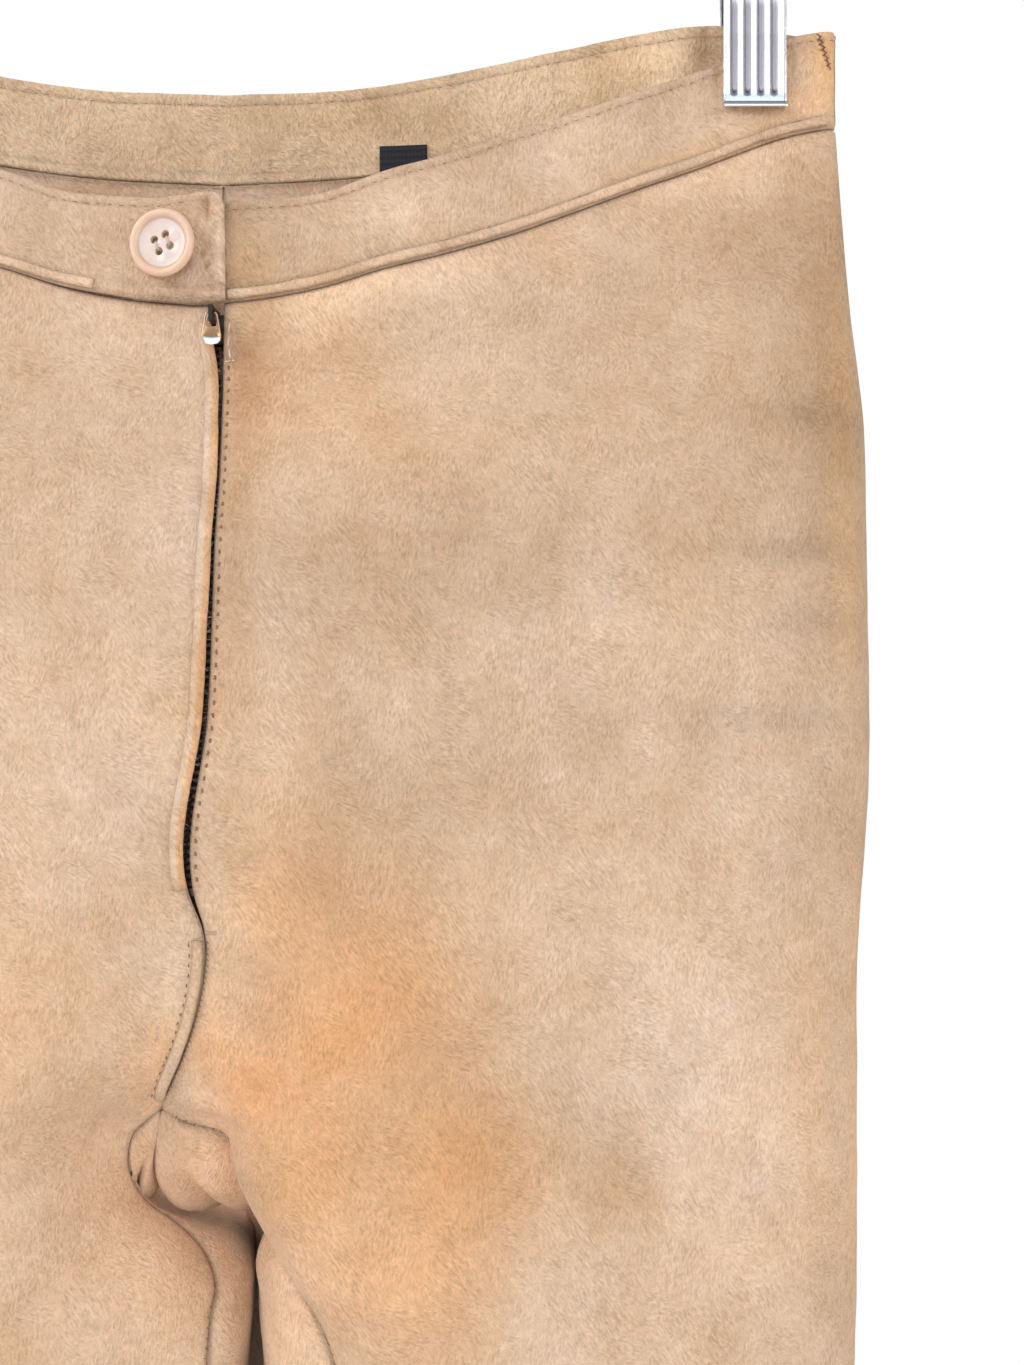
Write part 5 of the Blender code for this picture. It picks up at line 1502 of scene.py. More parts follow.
def build_pull(finish):
    """The pull tab with its three-cornered window and its bright rolled lip; its metal is painted brown
    above and orange-brown below as painted shade and painted reflection of the suede, and bluish white on
    the lip as painted reflection.
    """
    rings = []
    for top, low, side in PULL_RINGS:
        rings.append([(0, top)] + side + [(0, low)] + [(-a, b) for a, b in side[::-1]])
    count = len(rings[0])
    thick = (0.42, 0.5, 0.32, 0.3)
    points = []
    for sign in (-1, 1):
        for ring, depth in zip(rings, thick):
            points += [(a, sign * depth, b) for a, b in ring]
    faces = []
    back = 4 * count
    for i in range(count):
        k = (i + 1) % count
        for level in range(3):
            low = level * count
            front = [low + i, low + k, low + count + k, low + count + i]
            faces += [front, [back + j for j in front][::-1]]
        faces.append([i, back + i, back + k, k])
        faces.append([3 * count + k, back + 3 * count + k, back + 3 * count + i, 3 * count + i])
    placed = (np.array(points) + PULL_PIVOT) * MM
    heights = np.array(points)[:, 2]
    level = np.tile(np.repeat(np.arange(4), count), 2)
    # painted colour on the bright metal: brown sides as painted shade and reflection of the suede, an
    # orange-brown plate as painted reflection of the suede, a bluish white lip as painted reflection
    lip = (ramp((-7.3 - heights) / 0.4) * (level < 2))[:, None]
    plate = ramp((-3.3 - heights) / 0.6)[:, None]
    painted_shade_and_reflection = (1 - plate) * np.array((0.46, 0.3, 0.22)) + plate * np.array((0.62, 0.38, 0.2))
    tone = (1 - lip) * painted_shade_and_reflection + lip * np.array((0.8, 0.92, 1.06))
    pull = build_mesh("zip_pull_tab", placed, faces, finish, tone)
    recalc(pull)
    bevel = pull.modifiers.new("rounded", "BEVEL")
    bevel.width = 0.15 * MM
    bevel.segments = 3
    bevel.limit_method = "ANGLE"
    bevel.angle_limit = math.radians(50)
    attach(pull, "zip_pull")
    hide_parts("zip_pull")


def build_button(finish, thread):
    """A turned four-hole button with a raised rim, and the two threads that hold it."""
    x, z = BUTTON_AT
    sides = 72
    points = [(0, 0, BUTTON_OUTLINE[0][1]), (0, 0, BUTTON_OUTLINE[-1][1])]
    ring = BUTTON_OUTLINE[1:-1]
    for r, h in ring:
        for k in range(sides):
            angle = 2 * math.pi * k / sides
            points.append((r * math.cos(angle), r * math.sin(angle), h))
    faces = []
    for k in range(sides):
        after = (k + 1) % sides
        faces.append([0, 2 + k, 2 + after])
        last = 2 + (len(ring) - 1) * sides
        faces.append([1, last + after, last + k])
        for level in range(len(ring) - 1):
            a = 2 + level * sides
            faces.append([a + k, a + sides + k, a + sides + after, a + after])
    reach = np.linalg.norm(np.array(points)[:, :2], axis=1)
    rim = ramp((reach - 7.3) / 0.6)[:, None]
    tone = (1 - rim) * np.array((0.95, 0.97, 1.04)) + rim * np.array((1.0, 0.86, 0.72))
    # painted shade on the inner wall of the rim
    tone *= 1 - 0.16 * np.exp(-(((reach - 7.7) / 0.28) ** 2))[:, None]
    button = build_mesh("button_turned", np.array(points) * MM, faces, finish, tone)
    turn_out(button)
    surface = -float(face_depth("front", abs(x), z)) - TAB_LIFT
    tilt = math.radians(BUTTON_TURN)
    stand = 0.4 + 8.2 * math.sin(tilt)
    turn = Euler((math.pi / 2, 0, -tilt)).to_matrix().to_4x4()
    placing = Matrix.Translation(Vector((x, surface - stand, z)) * MM) @ turn
    cutters = []
    spots = []
    for number in range(4):
        angle = math.radians(BUTTON_HOLE_TURN + 90 * number)
        spot = np.array((2.75 * math.cos(angle), 2.75 * math.sin(angle)))
        spots.append(spot)
        middle = (spot[0] * MM, spot[1] * MM, 0.4 * MM)
        bpy.ops.mesh.primitive_cone_add(
            vertices=26, radius1=1.1 * MM, radius2=1.32 * MM, depth=3.6 * MM, location=middle
        )
        cutters.append(bpy.context.object)
    for cutter in cutters:
        cut = button.modifiers.new("hole", "BOOLEAN")
        cut.operation = "DIFFERENCE"
        cut.solver = "EXACT"
        cut.object = cutter
    rounded = button.modifiers.new("rounded", "BEVEL")
    rounded.width = 0.12 * MM
    rounded.segments = 2
    rounded.limit_method = "ANGLE"
    rounded.angle_limit = math.radians(60)
    bake(button)
    for cutter in cutters:
        bpy.data.objects.remove(cutter, do_unlink=True)
    button.data.transform(placing)
    place(button, "button_peach", "button")
    for number, (one, other) in enumerate(((0, 3), (1, 2))):
        for strand in (-0.2, 0.2):
            arc = thread_arc(spots[one], spots[other], strand)
            piece = wire(f"button_thread_{number}_{strand + 1:.2f}".replace(".", "_"), arc, 0.17, thread)
            piece.data.transform(placing)
            place(piece, "button_peach")
    bpy.ops.mesh.primitive_cylinder_add(
        vertices=24, radius=1.9 * MM, depth=3.4 * MM, location=(0, 0, -1.3 * MM)
    )
    shank = bpy.context.object
    shank.name = "button_shank"
    shank.data.materials.append(thread)
    shank.data.transform(Matrix.Translation(shank.location))
    shank.location = (0, 0, 0)
    shank.data.transform(placing)
    place(shank, "button_peach")


def thread_arc(start, end, shift):
    """A thread that comes up through one hole and goes down the next, in mm on the button."""
    start = np.asarray(start)
    end = np.asarray(end)
    ahead = (end - start) / np.linalg.norm(end - start)
    side = np.array((-ahead[1], ahead[0])) * shift
    heights = (-0.6, 0.6, 1.45, 1.95, 2.0, 1.95, 1.45, 0.6, -0.6)
    shares = (0.16, 0.16, 0.2, 0.32, 0.5, 0.68, 0.8, 0.84, 0.84)
    return [(*(start + (end - start) * s + side), h) for s, h in zip(shares, heights)]


def wire(name, points, radius, finish, sides=10):
    """A smooth round wire through points, in mm."""
    points = np.asarray(points, float)
    keys = np.arange(len(points))
    fine = smooth_line(keys, points, np.linspace(0, len(points) - 1, 8 * len(points)))
    ahead = unit(np.gradient(fine, axis=0))
    up = np.tile((0.31, 0.19, 0.93), (len(fine), 1))
    across = unit(np.cross(up, ahead))
    up = np.cross(ahead, across)
    angles = np.linspace(0, 2 * math.pi, sides, endpoint=False)
    rings = [fine + radius * (across * math.cos(a) + up * math.sin(a)) for a in angles]
    rings = np.stack(rings, axis=1).reshape(-1, 3) * MM
    faces = []
    for level in range(len(fine) - 1):
        for k in range(sides):
            after = (k + 1) % sides
            base = level * sides
            faces.append([base + k, base + after, base + after + sides, base + k + sides])
    faces.append(list(range(sides))[::-1])
    faces.append([(len(fine) - 1) * sides + k for k in range(sides)])
    made = build_mesh(name, rings, faces, finish)
    turn_out(made)
    return made


def bake(obj):
    """Applies an object's modifiers."""
    graph = bpy.context.evaluated_depsgraph_get()
    mesh = bpy.data.meshes.new_from_object(obj.evaluated_get(graph))
    mesh.name = obj.name
    obj.modifiers.clear()
    obj.data = mesh


def build_label(finish):
    """A short woven ribbed loop, folded over at its foot."""
    xs = np.linspace(*LABEL_X, 34)
    shares = np.linspace(0, 1, 40)
    grid, normals = band_grid("back", xs, (0, 1), lift=-(2 * SUEDE / MM + 0.3 + 0.4))
    zs = LABEL_FOOT + LABEL_HIGH * shares
    levels = []
    ups = []
    for z in zs:
        level = grid[0] * 0
        depth = face_depth("back", xs, np.full(len(xs), LABEL_SEAT_Z)) - (2 * SUEDE / MM + 0.7)
        level[:, 0] = xs
        level[:, 1] = depth + 0.25 * np.sin((z - LABEL_FOOT) / LABEL_HIGH * math.pi)
        level[:, 2] = z
        levels.append(level * MM)
        ups.append(normals[0])
    label = shell("label_loop_woven", np.array(levels), np.array(ups), 0.9 * MM, finish)
    place(label, "label_black", "label_loop")


def clip_plate(side, face, finish):
    """One ribbed jaw of sheet metal: its folded foot, its flutes with their dimples, and its lever, with
    painted reflection and painted shade in its colour.
    """
    sign = -1 if face == "front" else 1
    rest = float(read(waist_of(face), "x", "depth", CLIP_X - CLIP_WIDTH / 2)) + CLIP_GAP
    foot = CLIP_FOOT_Z[face]
    keys = [(rest + 2.2, foot - 0.3), (rest + 0.55, foot + 0.1), (rest, foot + 1.1), (rest, foot + 3.4)]
    keys += [(rest, -101), (5.0, -86), (5.0, -73), (12.0, -60), (13.4, -56)]
    keys = np.array(keys)
    lengths = np.concatenate([[0], np.cumsum(np.linalg.norm(np.diff(keys, axis=0), axis=1))])
    at = np.concatenate([np.linspace(0, lengths[3], 14)[:-1], np.linspace(lengths[3], lengths[-1], 60)])
    line = np.stack([np.interp(at, lengths, keys[:, 0]), np.interp(at, lengths, keys[:, 1])], axis=1)
    across = np.linspace(-CLIP_WIDTH / 2, CLIP_WIDTH / 2, 100)
    flute = 0.5 - 0.5 * np.cos(2 * math.pi * np.clip((across - CLIP_FLUTE_START) / CLIP_FLUTE_PITCH, 0, 4))
    flute = ramp(flute * 1.25 - 0.2)
    up = line[:, 1] - foot
    run = ramp((up - 3.6) / 0.8) * ramp((-86 - line[:, 1]) / 6)
    groove = flute[None] * run[:, None]
    centres = CLIP_FLUTE_START + CLIP_FLUTE_PITCH * (np.arange(4) + 0.5)
    level = ((up[:, None] - 4.2) / 0.55) ** 2
    dimples = sum(np.exp(-(((across[None] - c) / 0.42) ** 2) - level) for c in centres)
    bend = -0.16 * np.exp(-(((up - 1.4) / 0.3) ** 2))
    depth = line[:, :1] + CLIP_SHEET - 0.28 * groove - 0.35 * np.minimum(dimples, 1) + bend[:, None]
    curl = np.exp(-(((np.abs(across) - CLIP_WIDTH / 2) / 0.5) ** 2)) * 0.3
    depth = depth - curl[None]
    grid = np.stack([
        CLIP_X + np.broadcast_to(across, depth.shape),
        sign * depth,
        np.broadcast_to(line[:, 1:], depth.shape),
    ], axis=-1) * MM
    normals = np.cross(np.gradient(grid, axis=1), np.gradient(grid, axis=0))
    normals *= np.where(normals[..., 1:2] * sign > 0, 1, -1)
    normals = unit(normals)
    flat = np.tile(unit(np.array((0.0, sign, 0.0))), (*depth.shape, 1))
    cloth_side = np.where(groove[..., None] > 0.02, flat, normals)
    # The chrome's colour carries painted reflection and shade: darker in the flutes, near black in the
    # dimples, bluish on the folded foot and dark along the bend
    tone = np.ones((*depth.shape, 3))
    tone *= 1 - 0.66 * (flute[None] * run[:, None])[..., None] * np.array((1.0, 1.03, 0.96))
    tone *= 1 - 0.93 * np.minimum(dimples, 1)[..., None]
    foot_painted_reflection = ramp((4.6 - up) / 0.8) * ramp((up - 1.6) / 0.5)
    tone *= 1 - foot_painted_reflection[:, None, None] * np.array((0.42, 0.34, 0.2))
    bend_painted_shade = np.exp(-(((up - 1.25) / 0.36) ** 2))
    tone *= 1 - 0.9 * bend_painted_shade[:, None, None] * np.array((1.0, 0.95, 0.8))
    plate = shell(
        f"clip_plate_{face}_{side}", grid, cloth_side, CLIP_SHEET * MM, finish, tone, turned=False,
        mirrored=side == "right",
    )
    place(plate, "clip_chrome", f"clip_{face}_{side}")


def build_hook(steel):
    """The hanger's hook with its collar, smoother than its solid."""
    radius = HOOK_INSIDE + WIRE_RADIUS
    points = [(0, 0, BAR_Z + 4.2)] + HOOK_NECK
    bend = np.radians(np.arange(-40, 205, 14))
    points += [(radius * math.cos(a), 0, radius * math.sin(a) - HOOK_INSIDE) for a in bend]
    hook = wire("hanger_hook_wire", points, WIRE_RADIUS, steel, sides=20)
    place(hook, "hanger_steel", "hanger_hook")
    sides = 48
    rings = []
    for r, x in COLLAR_OUTLINE:
        for k in range(sides):
            angle = 2 * math.pi * k / sides
            rings.append((x, r * math.cos(angle), BAR_Z + r * math.sin(angle)))
    faces = []
    count = len(COLLAR_OUTLINE)
    for level in range(count):
        after_level = (level + 1) % count
        for k in range(sides):
            after = (k + 1) % sides
            low = level * sides
            high = after_level * sides
            faces.append([low + k, low + after, high + after, high + k])
    collar = build_mesh("hanger_collar", np.array(rings) * MM, faces, steel)
    recalc(collar)
    sharpen(collar)
    place(collar, "hanger_steel")


def sharpen(obj, angle=35):
    """Keeps the shading crisp across a mesh's sharp edges."""
    obj.data.set_sharp_from_angle(angle=math.radians(angle))


def build_hairs(panels, bands, fuzz, rng):
    """Loose fibres of the nap along folded edges and on the rough end of the band."""
    left = panels["front_left"]
    grid = left["grid"]
    normals = left["normals"]
    spots = []
    ways = []
    rows = PANEL_GRIDS["front_left"][:, 0, 2] / MM
    for row in np.flatnonzero((rows < -449) & (rows > -700)):
        dense = 5 if rows[row] > -545 else 3
        for _ in range(dense):
            column = rng.integers(0, 7)
            spots.append(grid[row, column] + rng.normal(0, 0.25, 3) * MM)
            ways.append(normals[row, column] + rng.normal(0, 0.55, 3) + (-0.55, -0.1, -0.35))
    edge = bands["band_front_right"]["grid"]
    edge_normals = bands["band_front_right"]["normals"]
    for _ in range(420):
        row = rng.integers(0, 6)
        column = rng.integers(0, 26)
        spots.append(edge[row, column] + rng.normal(0, 0.2, 3) * MM)
        ways.append(edge_normals[row, column] * 0.7 + rng.normal(0, 0.5, 3) + (0.0, 0.0, -0.5))
    for _ in range(160):
        row = rng.integers(2, BAND_ROWS)
        column = rng.integers(0, 5)
        spots.append(edge[row, column] + rng.normal(0, 0.2, 3) * MM)
        ways.append(edge_normals[row, column] * 0.5 + rng.normal(0, 0.5, 3) + (0.5, 0.0, 0.0))
    seam = row_near(PANEL_GRIDS["front_right"], -300)
    right = panels["front_right"]
    for _ in range(200):
        row = rng.integers(12, seam + 30)
        spots.append(right["grid"][row, 0])
        ways.append(right["normals"][row, 0] * 0.6 + rng.normal(0, 0.5, 3) + (0.6, 0, 0))
    spots = np.array(spots)
    ways = unit(np.array(ways))
    strands(spots, ways, fuzz, rng)


def strands(spots, ways, finish, rng):
    """Fine curved hairs, each a tapering three-sided thread."""
    count = len(spots)
    length = rng.uniform(0.7, 2.3, (count, 1))
    curl = rng.normal(0, 0.4, (count, 3))
    side = unit(np.cross(ways, rng.normal(0, 1, (count, 3))))
    other = np.cross(ways, side)
    layers = []
    for share, wide in ((0, 0.045), (0.35, 0.04), (0.7, 0.03), (1, 0.008)):
        middle = spots + (ways * share + curl * share**2 * 0.5) * length * MM
        for angle in (0, 2.09, 4.19):
            layers.append(middle + (side * math.cos(angle) + other * math.sin(angle)) * wide * MM)
    points = np.stack(layers, axis=1).reshape(-1, 3)
    one = []
    for level in range(3):
        for k in range(3):
            after = (k + 1) % 3
            one.append([level * 3 + k, level * 3 + after, level * 3 + 3 + after, level * 3 + 3 + k])
    faces = (np.array(one)[None] + 12 * np.arange(count)[:, None, None]).reshape(-1, 4)
    hairs = build_mesh("suede_fibres", points, faces, finish)
    place(hairs, "suede_tan")


class Finish:
    """A procedural material, built node by node."""

    def __init__(self, name, roughness, metallic=0.0):
        """Starts a material with its roughness, its metallic share and its place field."""
        self.made = bpy.data.materials.new(name)
        self.made.use_nodes = True
        self.tree = self.made.node_tree
        self.shader = self.tree.nodes["Principled BSDF"]
        self.shader.inputs["Roughness"].default_value = roughness
        self.shader.inputs["Metallic"].default_value = metallic
        self.place = self.tree.nodes.new("ShaderNodeTexCoord").outputs["Object"]

    def link(self, source, target):
        """Joins an output to an input."""
        self.tree.links.new(source, target)

    def noise(self, size, detail=3, rough=0.55, stretch=(1, 1, 1), turn=(0, 0, 0), shift=0.0):
        """Noise whose features are about size mm across, stretched and turned where asked."""
        mapping = self.tree.nodes.new("ShaderNodeMapping")
        mapping.vector_type = "TEXTURE"
        mapping.inputs["Location"].default_value = (shift, shift * 0.7, shift * 0.3)
        mapping.inputs["Rotation"].default_value = [math.radians(a) for a in turn]
        mapping.inputs["Scale"].default_value = stretch
        self.link(self.place, mapping.inputs["Vector"])
        node = self.tree.nodes.new("ShaderNodeTexNoise")
        node.inputs["Scale"].default_value = 1000 / size
        node.inputs["Detail"].default_value = detail
        node.inputs["Roughness"].default_value = rough
        self.link(mapping.outputs["Vector"], node.inputs["Vector"])
        return node.outputs["Fac"]

    def math(self, operation, one, other, third=None):
        """One arithmetic step on fields or numbers."""
        node = self.tree.nodes.new("ShaderNodeMath")
        node.operation = operation
        for socket, value in zip(node.inputs, (one, other, third)):
            if value is None:
                continue
            if isinstance(value, (int, float)):
                socket.default_value = value
            else:
                self.link(value, socket)
        return node.outputs["Value"]

    def total(self, pairs, base=0.0):
        """base plus each field, centred on 0, times its weight."""
        value = base
        for field, weight in pairs:
            centred = self.math("SUBTRACT", field, 0.5)
            value = self.math("MULTIPLY_ADD", centred, weight, value)
        return value

    def spread(self, field, low, high):
        """A field stretched so that low gives 0 and high gives 1."""
        node = self.tree.nodes.new("ShaderNodeMapRange")
        node.inputs["From Min"].default_value = low
        node.inputs["From Max"].default_value = high
        self.link(field, node.inputs["Value"])
        return node.outputs["Result"]

    def blend(self, factor, one, other, kind="MIX"):
        """Two colours mixed by a factor."""
        node = self.tree.nodes.new("ShaderNodeMix")
        node.data_type = "RGBA"
        node.blend_type = kind
        for name, value in (("Factor", factor), ("A", one), ("B", other)):
            socket = [s for s in node.inputs if s.name == name and s.enabled][0]
            if isinstance(value, tuple):
                socket.default_value = (*value, 1)
            elif isinstance(value, (int, float)):
                socket.default_value = value
            else:
                self.link(value, socket)
        return [s for s in node.outputs if s.enabled][0]

    def times(self, colour, value):
        """A colour scaled by a single value."""
        node = self.tree.nodes.new("ShaderNodeVectorMath")
        node.operation = "SCALE"
        if isinstance(colour, tuple):
            node.inputs[0].default_value = colour
        else:
            self.link(colour, node.inputs[0])
        self.link(value, node.inputs["Scale"])
        return node.outputs["Vector"]

    def toned(self, colour):
        """A colour multiplied by the mesh's own tones."""
        attribute = self.tree.nodes.new("ShaderNodeAttribute")
        attribute.attribute_name = "tone"
        node = self.tree.nodes.new("ShaderNodeVectorMath")
        node.operation = "MULTIPLY"
        self.link(colour, node.inputs[0])
        self.link(attribute.outputs["Color"], node.inputs[1])
        return node.outputs["Vector"]

    def colour(self, value):
        """Sets the surface's colour."""
        self.link(value, self.shader.inputs["Base Color"])

    def bump(self, height, distance, strength=1.0):
        """Sets the surface's relief, distance in mm."""
        node = self.tree.nodes.new("ShaderNodeBump")
        node.inputs["Distance"].default_value = distance * MM
        node.inputs["Strength"].default_value = strength
        self.link(height, node.inputs["Height"])
        self.link(node.outputs["Normal"], self.shader.inputs["Normal"])

    def set(self, **values):
        """Sets constant values on the shader's own inputs."""
        for name, value in values.items():
            socket = self.shader.inputs[name.replace("_", " ")]
            socket.default_value = (*value, 1) if isinstance(value, tuple) else value


def suede_finish(name, warm, pale, nap, toned=True):
    """Brushed suede: cloudy colour, short strands lying in two directions, and a soft sheen."""
    finish = Finish(name, 0.95)
    across = finish.noise(0.72, 2, 0.6, stretch=(1, 1, 3.2), turn=(0, -36, 0))
    along = finish.noise(0.7, 2, 0.6, stretch=(1, 1, 2.8), turn=(0, 8, 0), shift=0.3)
    third = finish.noise(0.72, 2, 0.6, stretch=(1, 1, 2.6), turn=(0, -70, 0), shift=0.8)
    choice = finish.spread(finish.noise(26, 2, 0.5), 0.44, 0.56)
    other = finish.spread(finish.noise(17, 2, 0.5, shift=0.5), 0.52, 0.62)
    strand = mix_value(finish, choice, across, along)
    strand = mix_value(finish, other, strand, third)
    strand = finish.spread(strand, 0.3, 0.68)
    grain = finish.noise(0.42, 2, 0.7)
    clumps = finish.noise(2.6, 4, 0.7)
    mottle = finish.noise(9, 5, 0.66, shift=0.2)
    cloud = finish.noise(46, 5, 0.6, shift=0.9)
    hue = finish.spread(finish.total(((cloud, 1.4), (mottle, 0.55), (clumps, 0.2)), 0.5), 0.1, 0.9)
    colour = finish.blend(hue, warm, pale)
    fields = ((strand, 0.36 * nap), (grain, 0.3 * nap), (clumps, 0.3), (mottle, 0.24), (cloud, 0.14))
    colour = finish.times(colour, finish.total(fields, 1.0))
    finish.colour(finish.toned(colour) if toned else colour)
    height = finish.total(((strand, 0.5), (grain, 0.5), (clumps, 1.0), (mottle, 0.8)), 0.5)
    finish.bump(height, 0.6 * nap)
    finish.set(Sheen_Weight=0.32, Sheen_Roughness=0.36, Sheen_Tint=(1.0, 0.93, 0.84))
    finish.set(Specular_IOR_Level=0.18)
    return finish.made


def mix_value(finish, factor, one, other):
    """One field fading to another by a factor."""
    node = finish.tree.nodes.new("ShaderNodeMix")
    finish.link(factor, node.inputs["Factor"])
    finish.link(one, node.inputs["A"])
    finish.link(other, node.inputs["B"])
    return node.outputs["Result"]


def thread_finish(name, colour, dark):
    """Twisted sewing thread."""
    finish = Finish(name, 0.7)
    twist = finish.noise(0.35, 2, 0.6, stretch=(1, 1, 0.5), turn=(0, 40, 0))
    worn = finish.noise(7, 3, 0.6)
    shade = finish.spread(finish.total(((twist, 1.0), (worn, 0.9)), 0.5), 0.2, 0.8)
    finish.colour(finish.blend(shade, dark, colour))
    finish.bump(twist, 0.08)
    finish.set(Sheen_Weight=0.15, Sheen_Roughness=0.5)
    return finish.made


def metal_finish(name, colour, roughness, toned=False):
    """Bright metal with fine wear, smears and tiny scratches."""
    finish = Finish(name, roughness, 1.0)
    scratch = finish.noise(0.5, 3, 0.7, stretch=(1, 1, 7), turn=(0, 12, 0))
    smear = finish.noise(6, 4, 0.6)
    shade = finish.total(((scratch, 0.1), (smear, 0.16)), 1.0)
    value = finish.times(colour, shade)
    finish.colour(finish.toned(value) if toned else value)
    rough = finish.total(((scratch, 0.16), (smear, 0.2)), roughness)
    finish.link(rough, finish.shader.inputs["Roughness"])
    finish.bump(scratch, 0.012)
    return finish.made


def button_finish():
    """Glossy cream resin with faint clouding and fine polish marks."""
    finish = Finish("button_peach_resin", 0.22)
    cloud = finish.noise(5, 4, 0.6)
    fine = finish.noise(0.6, 2, 0.6)
    colour = finish.blend(finish.spread(cloud, 0.3, 0.7), (0.80, 0.63, 0.54), (0.85, 0.71, 0.64))
    finish.colour(finish.toned(finish.times(colour, finish.total(((fine, 0.05),), 1.0))))
    finish.link(finish.total(((cloud, 0.12), (fine, 0.06)), 0.22), finish.shader.inputs["Roughness"])
    finish.bump(fine, 0.01)
    finish.set(Coat_Weight=0.35, Coat_Roughness=0.12, Subsurface_Weight=0.12, Subsurface_Scale=0.002)
    return finish.made


def woven_finish(name, dark, light, pitch, roughness=0.8):
    """Close ribbed tape: fine ribs crossed by threads."""
    finish = Finish(name, roughness)
    ribs = finish.tree.nodes.new("ShaderNodeTexWave")
    ribs.bands_direction = "Z"
    ribs.inputs["Scale"].default_value = 1000 / pitch / (2 * math.pi)
    ribs.inputs["Distortion"].default_value = 0.6
    ribs.inputs["Detail"].default_value = 2
    finish.link(finish.place, ribs.inputs["Vector"])
    cross = finish.tree.nodes.new("ShaderNodeTexWave")
    cross.bands_direction = "X"
    cross.inputs["Scale"].default_value = 1000 / (pitch * 0.6) / (2 * math.pi)
    finish.link(finish.place, cross.inputs["Vector"])
    fibre = finish.noise(0.5, 3, 0.6)
    weave = finish.total(((ribs.outputs["Fac"], 0.7), (cross.outputs["Fac"], 0.35), (fibre, 0.5)), 0.5)
    finish.colour(finish.blend(finish.spread(weave, 0.1, 0.9), dark, light))
    finish.bump(weave, 0.16)
    finish.set(Sheen_Weight=0.15, Sheen_Roughness=0.4)
    return finish.made


def floor_finish():
    """Plain pale studio floor."""
    finish = Finish("studio_floor", 0.7)
    grain = finish.noise(40, 4, 0.6)
    finish.colour(finish.blend(finish.spread(grain, 0.2, 0.8), (0.80, 0.79, 0.78), (0.86, 0.86, 0.85)))
    return finish.made


def build_lights():
    """A white studio: even light all round, a large soft key from the front left above and a low fill."""
    world = bpy.data.worlds.new("studio")
    bpy.context.scene.world = world
    world.use_nodes = True
    tree = world.node_tree
    tree.nodes.clear()
    out = tree.nodes.new("ShaderNodeOutputWorld")
    seen = tree.nodes.new("ShaderNodeBackground")
    seen.inputs["Strength"].default_value = 1.0
    seen.inputs["Color"].default_value = (1, 1, 1, 1)
    glow = tree.nodes.new("ShaderNodeBackground")
    glow.inputs["Strength"].default_value = AMBIENT
    glow.inputs["Color"].default_value = (1.0, 0.985, 0.97, 1)
    path = tree.nodes.new("ShaderNodeLightPath")
    choose = tree.nodes.new("ShaderNodeMixShader")
    tree.links.new(path.outputs["Is Camera Ray"], choose.inputs["Fac"])
    tree.links.new(glow.outputs["Background"], choose.inputs[1])
    tree.links.new(seen.outputs["Background"], choose.inputs[2])
    tree.links.new(choose.outputs["Shader"], out.inputs["Surface"])
    for name, spot, aim, size, energy, colour in LIGHTS:
        light = bpy.data.lights.new(name, "AREA")
        light.shape = "RECTANGLE"
        light.size = size[0]
        light.size_y = size[1]
        light.energy = energy
        light.color = colour
        lamp = bpy.data.objects.new(name, light)
        lamp.location = spot
        lamp.rotation_euler = (Vector(aim) - Vector(spot)).to_track_quat("-Z", "Y").to_euler()
        bpy.context.scene.collection.objects.link(lamp)
    bpy.context.scene.view_settings.view_transform = "Standard"


def build_camera():
    """The camera at the photograph's angle."""
    camera = bpy.data.cameras.new("camera")
    camera.lens = CAMERA_LENS
    camera.sensor_width = CAMERA_SENSOR
    camera.clip_start = 0.02
    eye = bpy.data.objects.new("camera", camera)
    eye.location = CAMERA_AT
    eye.rotation_euler = (math.pi / 2, 0, 0)
    bpy.context.scene.collection.objects.link(eye)
    bpy.context.scene.camera = eye


def build_floor():
    """A plain round floor under the hems."""
    place_at = (0, 0, FLOOR_Z)
    bpy.ops.mesh.primitive_circle_add(vertices=96, radius=FLOOR_RADIUS, fill_type="NGON", location=place_at)
    floor = bpy.context.object
    floor.name = "studio_floor"
    floor.data.materials.append(floor_finish())


def repaint(finish, *names):
    """Gives CAD solids that stay a finished material."""
    for name in names:
        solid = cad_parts[name]
        solid.data.materials.clear()
        solid.data.materials.append(finish)


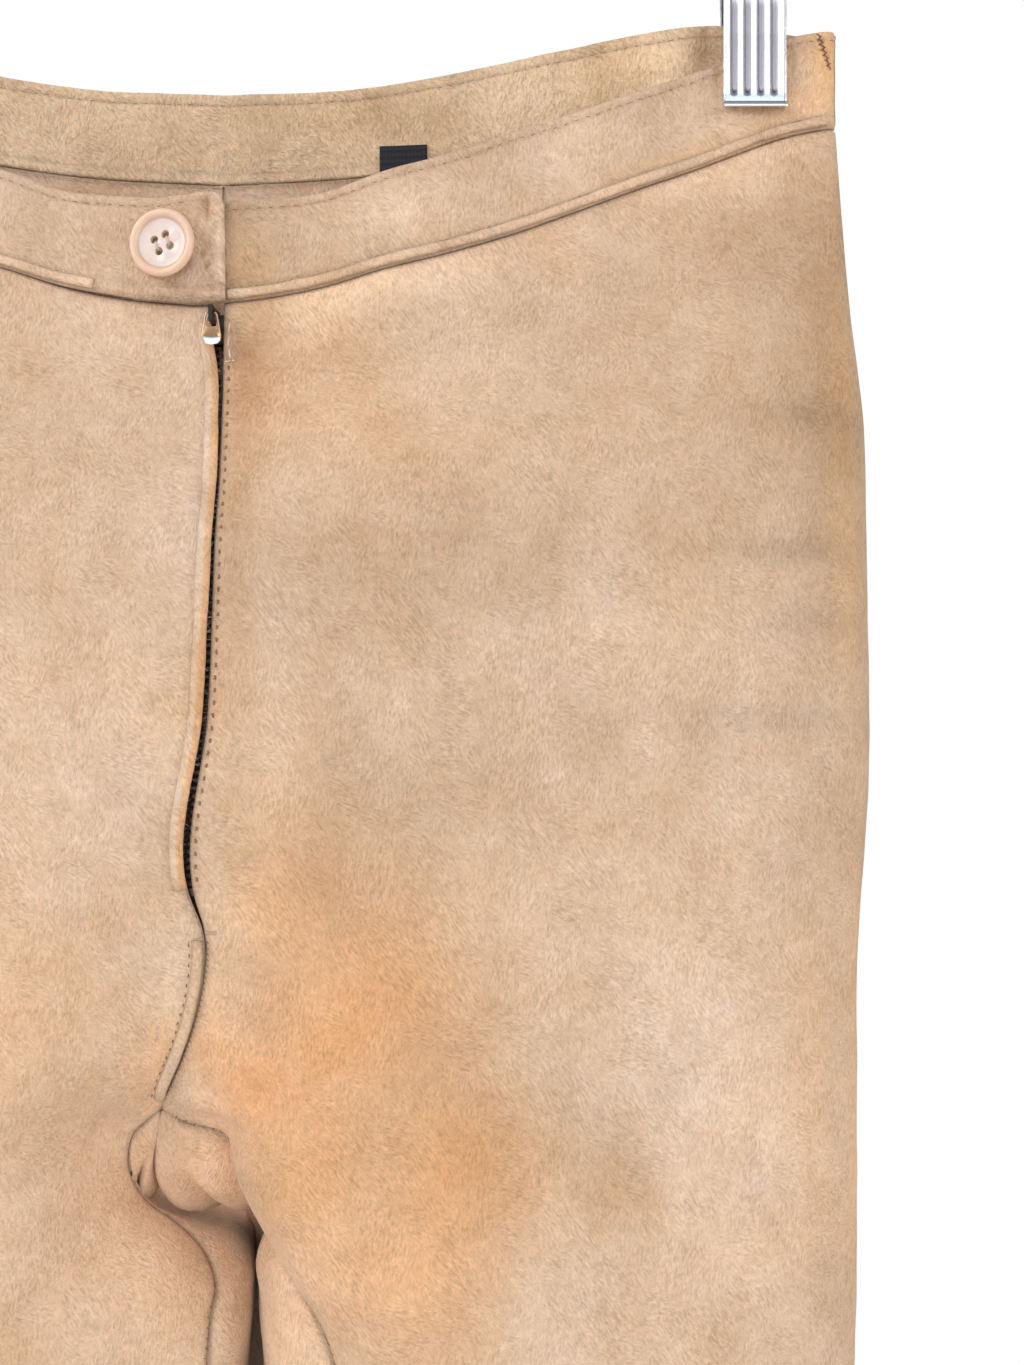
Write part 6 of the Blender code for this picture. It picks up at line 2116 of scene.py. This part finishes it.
def build():
    """Every finish and every piece, then the floor, the lights and the camera."""
    rng = np.random.default_rng(7)
    suede = suede_finish("suede_tan_nap", (0.66, 0.425, 0.262), (0.735, 0.555, 0.42), 1.0)
    rough = suede_finish("suede_rough_nap", (0.64, 0.435, 0.275), (0.76, 0.575, 0.41), 1.35)
    fuzz = suede_finish("suede_fibre", (0.84, 0.66, 0.47), (0.9, 0.76, 0.6), 0.6, toned=False)
    thread = thread_finish("thread_tan", (0.74, 0.58, 0.42), (0.50, 0.33, 0.20))
    dark = thread_finish("thread_brown", (0.36, 0.21, 0.105), (0.17, 0.085, 0.04))
    whip = thread_finish("thread_red_brown", (0.30, 0.115, 0.075), (0.10, 0.04, 0.03))
    tape = woven_finish("zip_tape_weave", (0.035, 0.02, 0.012), (0.11, 0.062, 0.036), 0.9)
    label = woven_finish("label_weave", (0.0015, 0.002, 0.004), (0.012, 0.015, 0.026), 1.1, 0.75)
    # The zip's teeth and stop are darkened as painted shade in the opening, and its slider is near black as
    # painted shade under the band's end
    zip_metal = metal_finish("zip_chain_and_stop_painted_shade", (0.11, 0.08, 0.065), 0.42)
    slider = metal_finish("zip_slider_painted_shade", (0.05, 0.04, 0.036), 0.5)
    bright = metal_finish("zip_metal_bright", (0.86, 0.86, 0.9), 0.2, toned=True)
    light = thread_finish("thread_cream", (0.86, 0.75, 0.62), (0.62, 0.46, 0.33))
    chrome = metal_finish("clip_chrome_bright", (0.93, 0.94, 0.99), 0.17, toned=True)
    steel = metal_finish("hanger_steel_bright", (0.8, 0.8, 0.84), 0.24)
    panels = build_panels(suede)
    bands = build_bands(suede, rough)
    build_welts(suede, thread)
    build_fly(panels, suede, thread, light, dark, rng)
    build_seam_stitches(panels, bands, dark, rng)
    build_side_whip(whip, rng)
    build_zip(tape, zip_metal, bright)
    build_button(button_finish(), light)
    build_label(label)
    for side in ("left", "right"):
        for face in ("front", "back"):
            clip_plate(side, face, chrome)
    build_hook(steel)
    build_hairs(panels, bands, fuzz, rng)
    repaint(steel, "hanger_bar", "clip_spring_left", "clip_spring_right")
    repaint(slider, "zip_slider")
    repaint(zip_metal, "zip_stop")
    build_floor()
    build_lights()
    build_camera()


PANEL_GRIDS = {name: panel_grid(name) for name in PANELS}
build()
